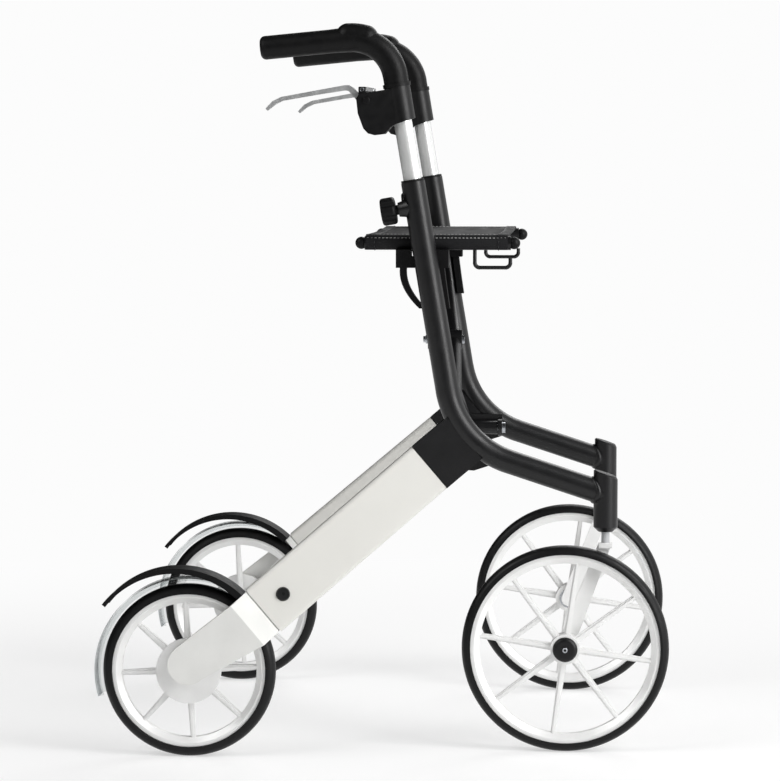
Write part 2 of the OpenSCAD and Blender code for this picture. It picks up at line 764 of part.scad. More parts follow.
module brake_housing() {
    top_z = handle_top_l - neck_l - ring_h - seat_gap;
    sleeve_d = handle_d + 2 * sleeve_wall;
    color("#121213") along_main() difference() {
        union() {
            slab(-housing_t / 2, housing_t / 2) polygon(housing_points(housing_shares));
            intersection() {
                translate([0, 0, top_z - sleeve_back_h]) cylinder(h = sleeve_back_h, d = sleeve_d);
                slab(-sleeve_d, sleeve_d) polygon([
                    [-sleeve_d / 2, top_z + over], [-sleeve_d / 2, top_z - sleeve_back_h],
                    [sleeve_d / 2, top_z - sleeve_front_h], [sleeve_d / 2, top_z + over]]);
            }
        }
        translate([0, 0, top_z - housing_h])
            cylinder(h = housing_h + over, d = handle_d + 2 * run);
        slab(-lever_t / 2 - lever_slot_gap, lever_t / 2 + lever_slot_gap) polygon(housing_points(slot_shares));
        cross_pin(lever_pivot, -housing_t, housing_t, lever_pin_d + 2 * run);
    }
}

module brake_lever() {
    color("#c3c5c8") along_main() {
        slab(-lever_t / 2, lever_t / 2)
            polygon([for (s = lever_shares) lever_pivot + [-s[0] * lever_reach, s[1] * lever_rise]]);
        cross_pin(lever_pivot, -housing_t / 2, housing_t / 2, lever_pin_d);
    }
}

module fork() {
    top_z = crown_z + crown_h;
    crown_in_y = min(blade_y, main_y - stem_neck_d / 2);
    crown_out_y = max(blade_y + blade_t, main_y + stem_neck_d / 2);
    color("#cfd0d0") {
        translate([head_x, main_y, top_z - over])
            cylinder(h = head_bottom_z - free_gap - top_z + over, d = stem_neck_d);
        translate([head_x, main_y, head_bottom_z - free_gap])
            cylinder(h = head_l - spindle_top_gap, d = spindle_d);
        translate([head_x - blade_w / 2, crown_in_y, crown_z])
            cube([blade_w, crown_out_y - crown_in_y, crown_h]);
        slab(blade_y, blade_y + blade_t) polygon(concat(
            [[head_x + blade_w / 2, top_z], [head_x - blade_w / 2, top_z]],
            arc([front_x, front_r], blade_axle_r, blade_round_a, blade_round_a + 180, arm_end_steps)));
        cross_pin([front_x, front_r], blade_y + blade_t / 2, front_y + hub_l / 2 - over, axle_d);
    }
}

// Frame of a wheel, its axis along Z and pointing outwards
module wheel_frame(x, y, r) {
    translate([x, y, r]) rotate([-90, 0, 0]) children();
}

module tyre(r, h) {
    inner_r = r - h + seat_gap;
    crown = [for (i = [0:tyre_steps])
        [inner_r + (r - inner_r) * pow(sin(i * 180 / tyre_steps), tyre_crown_share),
         -tyre_w / 2 * cos(i * 180 / tyre_steps)]];
    color("#18191a") rotate_extrude($fn = wheel_steps) polygon(crown);
}

// Rim band, hub and spokes of a wheel whose rim carries the tyre at radius r
module spoked_rim(r, turn) {
    rotate_extrude($fn = wheel_steps) polygon([
        [r, -rim_w / 2], [r, rim_w / 2], [r - rim_h * rim_step_share, rim_w / 2],
        [r - rim_h, rim_w * rim_inner_share / 2], [r - rim_h, -rim_w * rim_inner_share / 2],
        [r - rim_h * rim_step_share, -rim_w / 2]]);
    translate([0, 0, -hub_l / 2]) cylinder(h = hub_l, d = hub_d);
    reach = r - rim_h / 2;
    for (i = [0:spoke_count - 1]) rotate([0, 0, turn + i * 360 / spoke_count]) {
        translate([0, 0, -spoke_web_t / 2]) linear_extrude(spoke_web_t) polygon([
            [hub_d / 3, -spoke_root_w / 2], [reach, -spoke_tip_w / 2],
            [reach, spoke_tip_w / 2], [hub_d / 3, spoke_root_w / 2]]);
        translate([0, 0, -spoke_rib_t / 2]) linear_extrude(spoke_rib_t) polygon([
            [hub_d / 3, -spoke_root_w * rib_share / 2], [reach, -spoke_tip_w * rib_share / 2],
            [reach, spoke_tip_w * rib_share / 2], [hub_d / 3, spoke_root_w * rib_share / 2]]);
    }
}

module front_tyre() {
    wheel_frame(front_x, front_y, front_r) tyre(front_r, front_tyre_h);
}

module front_rim() {
    color("#dedfdf") wheel_frame(front_x, front_y, front_r) difference() {
        spoked_rim(front_r - front_tyre_h, front_spoke_turn);
        translate([0, 0, -hub_l]) cylinder(h = 2 * hub_l, d = axle_d + 2 * hub_bore_room);
        for (z = [-hub_l / 2 - over, hub_l / 2 - bearing_w]) translate([0, 0, z])
            cylinder(h = bearing_w + over, d = bearing_d + 2 * run);
    }
}

module front_bearings() {
    color("#9a9da1") wheel_frame(front_x, front_y, front_r)
        for (z = [-hub_l / 2, hub_l / 2 - bearing_w + seat_gap]) translate([0, 0, z]) difference() {
            cylinder(h = bearing_w - seat_gap, d = bearing_d);
            translate([0, 0, -over]) cylinder(h = bearing_w + 2 * over, d = axle_d + 2 * run);
        }
}

module front_hub_cap() {
    color("#121213") wheel_frame(front_x, front_y, front_r) translate([0, 0, hub_l / 2 + seat_gap]) {
        rotate_extrude() polygon(concat([[0, 0], [hub_cap_d / 2, 0]],
            arc([hub_cap_d / 2 - hub_cap_h, 0], hub_cap_h, 0, 90, corner_steps), [[0, hub_cap_h]]));
        translate([0, 0, hub_cap_h - over]) cylinder(h = over + cap_screw_h, d = cap_screw_d);
    }
}

module rear_tyre() {
    wheel_frame(rear_x, rear_y, rear_r) tyre(rear_r, rear_tyre_h);
}

module rear_rim() {
    color("#dedfdf") wheel_frame(rear_x, rear_y, rear_r) difference() {
        union() {
            spoked_rim(rear_r - rear_tyre_h, rear_spoke_turn);
            translate([0, 0, hub_l / 2 - drum_t]) cylinder(h = drum_t, d = drum_d);
        }
        translate([0, 0, -hub_l]) cylinder(h = 2 * hub_l, d = axle_d + 2 * run);
    }
}

module pivot_bolt() {
    color("#c9ccd0") {
        pivot_rod(pivot_rear_x - bolt_head_h, pivot_front_x + bolt_head_h, rail_y, pivot_z, bolt_d);
        pivot_rod(pivot_front_x + seat_gap, pivot_front_x + bolt_head_h, rail_y, pivot_z, bolt_head_d);
        pivot_rod(pivot_rear_x - bolt_head_h, pivot_rear_x - seat_gap, rail_y, pivot_z, bolt_head_d);
    }
}

module seat_rail() {
    color("#18181a") difference() {
        pivot_rod(rail_mid_x - rail_l / 2, rail_mid_x + rail_l / 2, rail_y, rail_z, rail_d);
        pivot_rod(rail_mid_x - rail_l, rail_mid_x + rail_l, rail_y, rail_z, rail_d - 2 * rail_wall);
    }
}

module rail_caps() {
    color("#0f0f10") for (s = [-1, 1]) translate([rail_mid_x + s * rail_l / 2, rail_y, rail_z])
        rotate([0, s * 90, 0]) {
            translate([0, 0, -rail_plug_l])
                cylinder(h = rail_plug_l + over, d = rail_d - 2 * rail_wall - 2 * run);
            translate([0, 0, rail_cap_reach]) sphere(d = rail_cap_d);
        }
}

module bag_hook() {
    r = hook_bend_r;
    low_z = rail_z - hook_drop + hook_wire_d / 2;
    front_x_end = hook_rear_x + hook_l;
    tip_z = rail_z - rail_d / 2 - hook_end_gap;
    color("#17171a") translate([0, rail_y, 0]) {
        difference() {
            rod([hook_rear_x, 0, low_z + r], [hook_rear_x, 0, rail_z], hook_wire_d);
            pivot_rod(hook_rear_x - hook_l, hook_rear_x + hook_l, 0, rail_z, rail_d + 2 * seat_gap);
        }
        rod([hook_rear_x + r, 0, low_z], [front_x_end - r, 0, low_z], hook_wire_d);
        rod([front_x_end, 0, low_z + r], [front_x_end, 0, tip_z], hook_wire_d);
        for (bend = [[hook_rear_x + r, 180], [front_x_end - r, 270]])
            translate([bend[0], 0, low_z + r]) rotate([90, 0, 0]) rotate([0, 0, bend[1]])
                rotate_extrude(angle = 90) translate([r, 0]) circle(d = hook_wire_d + 2 * bend_swell);
    }
}

// One arm of the folding cross: low pivot at -Y, seat rail at +Y, crossing at crossing_x
module brace(crossing_x) {
    low = [brace_low_x, -rail_y, pivot_z];
    middle = [crossing_x, 0, centre_z];
    top = [brace_top_x, rail_y, rail_z];
    difference() {
        union() {
            rod(low, middle, brace_d);
            rod(middle, top, brace_d);
            pivot_rod(crossing_x - boss_half, crossing_x + boss_half, 0, centre_z, boss_d);
            pivot_rod(pivot_rear_x + ear_t + free_gap, pivot_front_x - ear_t - free_gap,
                -rail_y, pivot_z, sleeve_d);
        }
        pivot_rod(brace_top_x - rail_l, brace_top_x + rail_l, rail_y, rail_z, rail_d + 2 * seat_gap);
        pivot_rod(pivot_rear_x, pivot_front_x, -rail_y, pivot_z, bolt_d + 2 * run);
        pivot_rod(crossing_x - boss_d, crossing_x + boss_d, 0, centre_z, bolt_d + 2 * run);
        for (x = [crossing_x - boss_half - brace_gap, crossing_x + boss_half])
            pivot_rod(x, x + brace_gap, 0, centre_z, boss_d);
    }
}

module brace_a() {
    color("#1b1b1d") brace(brace_a_x);
}

module brace_b() {
    color("#1b1b1d") mirror([0, 1, 0]) brace(brace_b_x);
}

module centre_bolt() {
    front = brace_a_x + boss_half + seat_gap;
    rear = brace_b_x - boss_half - seat_gap;
    washer_r = boss_d / 2 - over;
    color("#c9ccd0") {
        pivot_rod(rear - centre_head_h - bolt_tail, front + centre_head_h, 0, centre_z, bolt_d);
        pivot_rod(front, front + centre_head_h, 0, centre_z, centre_head_d);
        pivot_rod(rear - centre_head_h, rear, 0, centre_z, centre_head_d);
        pivot_rod(brace_b_x + boss_half + seat_gap, brace_a_x - boss_half - seat_gap,
            0, centre_z, 2 * washer_r);
    }
}

// Outline of the cloth across the rails: a sagging sheet whose edges wrap over the rails
module seat_cloth() {
    out_r = cloth_in_r + cloth_t;
    function sheet_z(y, lift) = rail_z + lift - cloth_sag * (1 - pow(y / rail_y, 2));
    function wrap(r, s, from_a, to_a) = [for (i = [0:cloth_steps])
        let (a = from_a + (to_a - from_a) * i / cloth_steps) [s * (rail_y + r * cos(a)), rail_z + r * sin(a)]];
    function sheet(lift, from_s) = [for (i = [1:2 * cloth_steps - 1])
        let (y = from_s * rail_y * (1 - i / cloth_steps)) [y, sheet_z(y, lift)]];
    outline = concat(wrap(out_r, -1, cloth_wrap_a, 90), sheet(out_r, -1), wrap(out_r, 1, 90, cloth_wrap_a),
        wrap(cloth_in_r, 1, cloth_wrap_a, 90), sheet(cloth_in_r, 1), wrap(cloth_in_r, -1, 90, cloth_wrap_a));
    color("#1a1a1c") translate([cloth_mid_x - cloth_l / 2, 0, 0]) rotate([90, 0, 90]) linear_extrude(cloth_l)
        polygon(outline);
}

module side_piece(side, piece) {
    on_side(side) {
        if (piece == "main_tube") main_tube();
        if (piece == "head_tube") head_tube();
        if (piece == "leg_socket") leg_socket();
        if (piece == "leg") leg();
        if (piece == "leg_screw") leg_screw();
        if (piece == "wheel_arm") wheel_arm();
        if (piece == "rear_axle") rear_axle();
        if (piece == "mudguard") mudguard();
        if (piece == "spray_guard") spray_guard();
        if (piece == "brake_shoe") brake_shoe();
        if (piece == "seat_saddle") seat_saddle();
        if (piece == "tube_collar") tube_collar();
        if (piece == "height_knob") height_knob();
        if (piece == "handle_tube") handle_tube();
        if (piece == "grip") grip();
        if (piece == "brake_housing") brake_housing();
        if (piece == "brake_lever") brake_lever();
        if (piece == "fork") fork();
        if (piece == "front_tyre") front_tyre();
        if (piece == "front_rim") front_rim();
        if (piece == "front_bearings") front_bearings();
        if (piece == "front_hub_cap") front_hub_cap();
        if (piece == "rear_tyre") rear_tyre();
        if (piece == "rear_rim") rear_rim();
        if (piece == "pivot_bolt") pivot_bolt();
        if (piece == "seat_rail") seat_rail();
        if (piece == "rail_caps") rail_caps();
        if (piece == "bag_hook") bag_hook();
    }
}

for (side = SIDES, piece = SIDE_PIECES)
    side_piece(side, piece);
brace_a();
brace_b();
centre_bolt();
seat_cloth();
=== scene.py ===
"""Dresses the all-terrain rollator: finishes, seat cloth, stitches, screws, welds and the studio."""
import json
from math import cos, pi, radians, sin, sqrt, tan

import bpy
from bpy.props import FloatProperty, FloatVectorProperty, PointerProperty, StringProperty
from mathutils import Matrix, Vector


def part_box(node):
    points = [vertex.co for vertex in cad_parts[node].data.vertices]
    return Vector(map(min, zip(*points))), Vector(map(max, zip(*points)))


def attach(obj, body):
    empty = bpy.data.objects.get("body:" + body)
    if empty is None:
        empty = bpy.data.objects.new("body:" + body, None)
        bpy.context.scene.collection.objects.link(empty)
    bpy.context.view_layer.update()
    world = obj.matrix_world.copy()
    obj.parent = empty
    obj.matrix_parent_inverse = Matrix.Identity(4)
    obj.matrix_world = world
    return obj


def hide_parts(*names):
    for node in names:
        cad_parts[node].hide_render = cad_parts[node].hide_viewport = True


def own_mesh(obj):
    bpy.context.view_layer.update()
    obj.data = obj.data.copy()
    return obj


bl_info = {
    "name": "Rollator dressing",
    "version": (1, 0, 0),
    "blender": (4, 5, 0),
    "location": "3D View > Sidebar > Rollator",
    "description": "Finishes, seat cloth, fasteners and studio for a folding outdoor rollator",
    "category": "Object",
}

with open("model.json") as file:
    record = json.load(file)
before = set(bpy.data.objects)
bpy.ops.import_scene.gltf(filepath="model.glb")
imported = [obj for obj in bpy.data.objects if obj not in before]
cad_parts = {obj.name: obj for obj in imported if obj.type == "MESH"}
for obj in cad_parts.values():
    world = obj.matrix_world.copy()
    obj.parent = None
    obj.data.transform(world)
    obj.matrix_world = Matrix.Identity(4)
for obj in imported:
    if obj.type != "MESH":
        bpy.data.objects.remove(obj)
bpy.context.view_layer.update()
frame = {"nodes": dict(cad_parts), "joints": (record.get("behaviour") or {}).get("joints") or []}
NODES = frame["nodes"]
SIDES = ("right", "left")
OUTWARDS = {"right": -1, "left": 1}
MM = 0.001


# Sizes and places of the frame that the pieces are fitted to

def middle(node):
    """Centre of a node's box."""
    low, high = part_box(node)
    return (Vector(low) + Vector(high)) / 2


def span(node):
    """Edge lengths of a node's box."""
    low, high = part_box(node)
    return Vector(high) - Vector(low)


def joint_place(name):
    """A point on the axis of a joint."""
    return Vector(next(joint for joint in frame["joints"] if joint["name"] == name)["pos_m"])


RAIL = middle("left_seat_rail")
RAIL_R = span("left_seat_rail").z / 2
CLOTH_LOW, CLOTH_HIGH = (Vector(corner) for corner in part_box("seat_cloth"))
# Gap between a rail and the cloth round it
CLOTH_GAP = 0.3 * MM
CLOTH_T = CLOTH_HIGH.z - RAIL.z - RAIL_R - CLOTH_GAP
# The spindle of a fork is bare down to this depth below the steering head
SPINDLE_DROP = 13.5 * MM
SPINDLE_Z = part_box("right_head_tube")[0][2] - SPINDLE_DROP
# Fall of the rear legs, and how far they lean outwards
LEG_SLOPE = radians(40.5)
LEG_SPLAY = radians(15.2)


# Settings that a user would change

class RollatorFinish(bpy.types.PropertyGroup):
    """Colours of the rollator's surfaces."""
    frame_black: StringProperty(
        name="Frame", description="Powder coat of the tubes, sRGB hex", default="#0d0d0e")
    leg_white: StringProperty(
        name="Legs", description="Enamel of the rear legs, sRGB hex", default="#d4d3ce")
    arm_silver: StringProperty(
        name="Wheel arms", description="Lacquer of the wheel arms, sRGB hex", default="#dfdfdc")
    rim_silver: StringProperty(
        name="Rims", description="Lacquer of the wheels, sRGB hex", default="#ebebea")
    plastic_black: StringProperty(
        name="Mouldings", description="Black mouldings, sRGB hex", default="#0a0a0b")
    rubber_black: StringProperty(
        name="Tyres", description="Tyre rubber, sRGB hex", default="#0c0c0d")
    cloth_black: StringProperty(
        name="Seat", description="Seat webbing, sRGB hex", default="#0e0e10")
    thread_grey: StringProperty(
        name="Thread", description="Seat stitching, sRGB hex", default="#b4b4b2")


class RollatorSeat(bpy.types.PropertyGroup):
    """Sizes of the seat cloth and its sewing."""
    sag: FloatProperty(
        name="Sag", description="Drop at the middle", default=2 * MM, unit="LENGTH")
    wrap: FloatProperty(
        name="Wrap", description="Where the cloth ends under a rail", default=radians(-50), subtype="ANGLE")
    hem_w: FloatProperty(
        name="Hem", description="Width of the folded hems", default=13 * MM, unit="LENGTH")
    ripple: FloatProperty(
        name="Ripple", description="Depth of the pull folds", default=0.7 * MM, unit="LENGTH")
    stitch_l: FloatProperty(
        name="Stitch", description="Length of a stitch", default=3.2 * MM, unit="LENGTH")
    stitch_gap: FloatProperty(
        name="Stitch pitch", description="Pitch of the stitches", default=4.6 * MM, unit="LENGTH")
    thread_d: FloatProperty(
        name="Thread", description="Thickness of the thread", default=0.9 * MM, unit="LENGTH")


class RollatorStage(bpy.types.PropertyGroup):
    """Camera and light of the studio."""
    eye: FloatVectorProperty(
        name="Camera", description="Place of the camera", default=(0.2645, -4.277, 0.740),
        subtype="TRANSLATION")
    yaw: FloatProperty(
        name="Yaw", description="Turn of the camera to the rear", default=radians(3.65), subtype="ANGLE")
    pitch: FloatProperty(
        name="Pitch", description="Tilt of the camera downwards", default=radians(4.29), subtype="ANGLE")
    lens: FloatProperty(
        name="Lens", description="Focal length in millimetres on a 36 mm frame", default=156.0)
    key_power: FloatProperty(
        name="Key light", description="Power of the key light in watts", default=60.0)
    fill_power: FloatProperty(
        name="Fill light", description="Power of the fill light and the back light in watts", default=47.0)


def finish():
    return bpy.context.scene.rollator_finish


def seat():
    return bpy.context.scene.rollator_seat


# Small tools

# Colour sockets of a mix node: its two inputs and its output
MIX_LOW = 6
MIX_HIGH = 7
MIX_OUT = 2


def linear(code):
    """Linear RGBA of an sRGB hex colour."""
    values = [int(code[i:i + 2], 16) / 255 for i in (1, 3, 5)]
    return [v / 12.92 if v <= 0.04045 else ((v + 0.055) / 1.055) ** 2.4 for v in values] + [1.0]


def add(tree, kind, settings=None, inputs=None):
    """Adds a node with its settings and its input values or links."""
    node = tree.nodes.new(kind)
    for key, value in (settings or {}).items():
        setattr(node, key, value)
    for key, value in (inputs or {}).items():
        if isinstance(value, bpy.types.NodeSocket):
            tree.links.new(value, node.inputs[key])
        else:
            node.inputs[key].default_value = value
    return node


def per_metre(size_mm):
    """Texture scale of a pattern with one repeat in size_mm."""
    return 1000 / size_mm


def new_material(name, **constants):
    """An empty material with a shader whose constant sockets are set."""
    material = bpy.data.materials.new(name)
    material.use_nodes = True
    tree = material.node_tree
    tree.nodes.clear()
    shader = add(tree, "ShaderNodeBsdfPrincipled")
    for key, value in constants.items():
        shader.inputs[key.replace("_", " ")].default_value = value
    output = add(tree, "ShaderNodeOutputMaterial")
    tree.links.new(shader.outputs["BSDF"], output.inputs["Surface"])
    return material, tree, shader


def mottle(tree, shader, coords, light, dark, size_mm):
    """Colour that drifts softly between two shades."""
    noise = add(tree, "ShaderNodeTexNoise", inputs={
        "Vector": coords, "Scale": per_metre(size_mm), "Detail": 3.0})
    drift = add(tree, "ShaderNodeMix", {"data_type": "RGBA"}, {
        "Factor": noise.outputs["Fac"], MIX_LOW: linear(dark), MIX_HIGH: linear(light)})
    tree.links.new(drift.outputs[MIX_OUT], shader.inputs["Base Color"])
    return drift.outputs[MIX_OUT]


def roughen(tree, shader, coords, low, high, size_mm):
    """Roughness that drifts between two values."""
    noise = add(tree, "ShaderNodeTexNoise", inputs={
        "Vector": coords, "Scale": per_metre(size_mm), "Detail": 2.0})
    spread = add(tree, "ShaderNodeMapRange", inputs={
        "Value": noise.outputs["Fac"], "From Min": 0.3, "From Max": 0.7, "To Min": low, "To Max": high})
    tree.links.new(spread.outputs["Result"], shader.inputs["Roughness"])


def emboss(tree, shader, height, depth_mm, strength):
    """Bump of a real depth from a height pattern."""
    bump = add(tree, "ShaderNodeBump", inputs={
        "Height": height, "Distance": depth_mm * MM, "Strength": strength})
    tree.links.new(bump.outputs["Normal"], shader.inputs["Normal"])


def shade(code, share):
    """A hex colour made lighter or darker by a share."""
    values = [min(255, max(0, round(int(code[i:i + 2], 16) * share))) for i in (1, 3, 5)]
    return "#" + "".join(f"{v:02x}" for v in values)


# Materials

def powder_coat():
    """Powder-coated aluminium tube: satin black with a fine orange-peel grain."""
    colour = finish().frame_black
    material, tree, shader = new_material("powder_coated_aluminium", IOR=1.5, Specular_IOR_Level=0.4)
    coords = add(tree, "ShaderNodeTexCoord").outputs["Object"]
    mottle(tree, shader, coords, shade(colour, 1.25), shade(colour, 0.85), size_mm=60)
    roughen(tree, shader, coords, low=0.3, high=0.4, size_mm=25)
    # The grain is drawn at 1.6 mm, coarser than the real 0.3 mm, so that it shows
    grain = add(tree, "ShaderNodeTexNoise", inputs={
        "Vector": coords, "Scale": per_metre(1.6), "Detail": 2.0})
    emboss(tree, shader, grain.outputs["Fac"], depth_mm=0.25, strength=0.35)
    return material


def leg_enamel():
    """Stove enamel on an extruded leg: warm white, glossy, faint draw lines along the leg."""
    colour = finish().leg_white
    material, tree, shader = new_material("stove_enamel", IOR=1.5, Coat_Weight=0.25, Coat_Roughness=0.12)
    coords = add(tree, "ShaderNodeTexCoord").outputs["Object"]
    mottle(tree, shader, coords, shade(colour, 1.01), shade(colour, 0.975), size_mm=90)
    roughen(tree, shader, coords, low=0.28, high=0.36, size_mm=40)
    along = add(tree, "ShaderNodeMapping", inputs={
        "Vector": coords, "Rotation": (0, LEG_SLOPE, 0), "Scale": (1, 60, 60)})
    lines = add(tree, "ShaderNodeTexNoise", inputs={
        "Vector": along.outputs["Vector"], "Scale": per_metre(240)})
    emboss(tree, shader, lines.outputs["Fac"], depth_mm=0.06, strength=0.25)
    return material


def arm_lacquer():
    """Silver lacquer on a glass-filled nylon casting: pale grey, softly matt, fine metal flake."""
    colour = finish().arm_silver
    material, tree, shader = new_material("silver_lacquered_nylon", IOR=1.5, Metallic=0.15)
    coords = add(tree, "ShaderNodeTexCoord").outputs["Object"]
    mottle(tree, shader, coords, shade(colour, 1.03), shade(colour, 0.95), size_mm=35)
    roughen(tree, shader, coords, low=0.38, high=0.5, size_mm=12)
    # The flake is drawn at 1.2 mm, coarser than the real 0.1 mm, so that it shows
    flake = add(tree, "ShaderNodeTexVoronoi", inputs={"Vector": coords, "Scale": per_metre(1.2)})
    emboss(tree, shader, flake.outputs["Distance"], depth_mm=0.06, strength=0.3)
    return material


def rim_lacquer():
    """Silver lacquer on moulded wheels: bright grey with a satin gloss and slight flow marks."""
    colour = finish().rim_silver
    material, tree, shader = new_material("silver_lacquered_wheel", IOR=1.5, Metallic=0.2)
    coords = add(tree, "ShaderNodeTexCoord").outputs["Object"]
    mottle(tree, shader, coords, shade(colour, 1.03), shade(colour, 0.94), size_mm=30)
    roughen(tree, shader, coords, low=0.32, high=0.38, size_mm=10)
    flow = add(tree, "ShaderNodeTexNoise", inputs={
        "Vector": coords, "Scale": per_metre(6), "Detail": 3.0})
    emboss(tree, shader, flow.outputs["Fac"], depth_mm=0.02, strength=0.1)
    return material


def moulding(name, gloss, low, high, grain_mm, depth_mm):
    """Moulded black plastic with an eroded grain."""
    colour = finish().plastic_black
    material, tree, shader = new_material(name, IOR=1.52, Specular_IOR_Level=gloss)
    coords = add(tree, "ShaderNodeTexCoord").outputs["Object"]
    mottle(tree, shader, coords, shade(colour, 1.2), shade(colour, 0.85), size_mm=20)
    roughen(tree, shader, coords, low=low, high=high, size_mm=8)
    # The grain is drawn coarser than the real 0.4 mm, so that it shows
    grain = add(tree, "ShaderNodeTexVoronoi", {"feature": "SMOOTH_F1"}, {
        "Vector": coords, "Scale": per_metre(grain_mm)})
    emboss(tree, shader, grain.outputs["Distance"], depth_mm=depth_mm, strength=0.4)
    return material


def clear_guard():
    """Clear polycarbonate: a thin smoky film that shows what is behind it, glossy where it turns away."""
    material, tree, shader = new_material("smoky_polycarbonate", IOR=1.58)
    coords = add(tree, "ShaderNodeTexCoord").outputs["Object"]
    mottle(tree, shader, coords, "#f0f2f3", "#dde0e2", size_mm=25)
    roughen(tree, shader, coords, low=0.12, high=0.25, size_mm=15)
    film = add(tree, "ShaderNodeBsdfTransparent", inputs={"Color": linear("#f3f4f4")})
    gloss = add(tree, "ShaderNodeFresnel", inputs={"IOR": 1.2})
    glazed = add(tree, "ShaderNodeMixShader", inputs={
        0: gloss.outputs[0], 1: film.outputs[0], 2: shader.outputs[0]})
    end = next(node for node in tree.nodes if node.type == "OUTPUT_MATERIAL")
    tree.links.new(glazed.outputs[0], end.inputs["Surface"])
    return material


def tyre_rubber():
    """Solid polyurethane tyre: deep black with a soft gloss and fine moulded pimples."""
    colour = finish().rubber_black
    material, tree, shader = new_material("polyurethane_tyre", IOR=1.5, Specular_IOR_Level=0.26)
    coords = add(tree, "ShaderNodeTexCoord").outputs["Object"]
    mottle(tree, shader, coords, shade(colour, 1.0), shade(colour, 0.6), size_mm=14)
    roughen(tree, shader, coords, low=0.36, high=0.5, size_mm=9)
    # The pimples are drawn 2.2 mm apart, coarser than the real 1 mm, so that they show
    pimples = add(tree, "ShaderNodeTexVoronoi", inputs={"Vector": coords, "Scale": per_metre(2.2)})
    emboss(tree, shader, pimples.outputs["Distance"], depth_mm=0.2, strength=0.35)
    return material


def bright_tube():
    """Anodised aluminium tube: bright satin metal with faint marks of sliding along it."""
    material, tree, shader = new_material("anodised_aluminium", Metallic=0.5)
    coords = add(tree, "ShaderNodeTexCoord").outputs["Object"]
    mottle(tree, shader, coords, "#f0f1f0", "#e4e5e4", size_mm=40)
    roughen(tree, shader, coords, low=0.12, high=0.18, size_mm=18)
    slid = add(tree, "ShaderNodeMapping", inputs={"Vector": coords, "Scale": (1, 1, 0.02)})
    marks = add(tree, "ShaderNodeTexNoise", inputs={
        "Vector": slid.outputs["Vector"], "Scale": per_metre(1.5)})
    emboss(tree, shader, marks.outputs["Fac"], depth_mm=0.02, strength=0.2)
    return material


def zinc():
    """Zinc-plated steel fasteners: pale metal, slightly cloudy."""
    material, tree, shader = new_material("zinc_plated_steel", Metallic=1.0)
    coords = add(tree, "ShaderNodeTexCoord").outputs["Object"]
    mottle(tree, shader, coords, "#cccfd3", "#a9adb2", size_mm=4)
    roughen(tree, shader, coords, low=0.22, high=0.36, size_mm=3)
    return material


def lever_alloy():
    """Forged aluminium lever, tumbled: grey metal, satin, finely pitted."""
    material, tree, shader = new_material("forged_aluminium", Metallic=0.7)
    coords = add(tree, "ShaderNodeTexCoord").outputs["Object"]
    mottle(tree, shader, coords, "#d2d3d3", "#b4b5b6", size_mm=12)
    roughen(tree, shader, coords, low=0.3, high=0.42, size_mm=6)
    # The pits are drawn at 1.5 mm, coarser than the real 0.2 mm, so that they show
    pits = add(tree, "ShaderNodeTexNoise", inputs={
        "Vector": coords, "Scale": per_metre(1.5), "Detail": 3.0})
    emboss(tree, shader, pits.outputs["Fac"], depth_mm=0.08, strength=0.25)
    return material


def fork_alloy():
    """Painted aluminium fork: silver grey, satin, with a bare steel spindle above its crown."""
    material, tree, shader = new_material("silver_painted_aluminium", IOR=1.5, Metallic=0.1)
    coords = add(tree, "ShaderNodeTexCoord").outputs["Object"]
    paint = mottle(tree, shader, coords, "#e8e8e7", "#dcdcdb", size_mm=20)
    height = add(tree, "ShaderNodeSeparateXYZ", inputs={"Vector": coords})
    spindle = add(tree, "ShaderNodeMath", {"operation": "GREATER_THAN"}, {
        0: height.outputs["Z"], 1: SPINDLE_Z})
    steel = add(tree, "ShaderNodeMix", {"data_type": "RGBA"}, {
        "Factor": spindle.outputs[0], MIX_LOW: paint, MIX_HIGH: linear("#a8a9ab")})
    tree.links.new(steel.outputs[MIX_OUT], shader.inputs["Base Color"])
    roughen(tree, shader, coords, low=0.32, high=0.44, size_mm=10)
    return material


def grip_rubber():
    """Thermoplastic rubber grip: deep black, matt, with a leather-like stipple."""
    material, tree, shader = new_material("thermoplastic_rubber", IOR=1.5, Specular_IOR_Level=0.2)
    coords = add(tree, "ShaderNodeTexCoord").outputs["Object"]
    mottle(tree, shader, coords, "#09090a", "#050505", size_mm=18)
    roughen(tree, shader, coords, low=0.4, high=0.54, size_mm=10)
    # The stipple is drawn at 2.4 mm, coarser than the real 1 mm, so that it shows
    stipple = add(tree, "ShaderNodeTexVoronoi", {"feature": "SMOOTH_F1"}, {
        "Vector": coords, "Scale": per_metre(2.4)})
    emboss(tree, shader, stipple.outputs["Distance"], depth_mm=0.25, strength=0.45)
    return material


def brake_block():
    """Brake block: dull grey rubber."""
    material, tree, shader = new_material("brake_rubber", IOR=1.5)
    coords = add(tree, "ShaderNodeTexCoord").outputs["Object"]
    mottle(tree, shader, coords, "#454547", "#333335", size_mm=6)
    roughen(tree, shader, coords, low=0.65, high=0.8, size_mm=4)
    return material


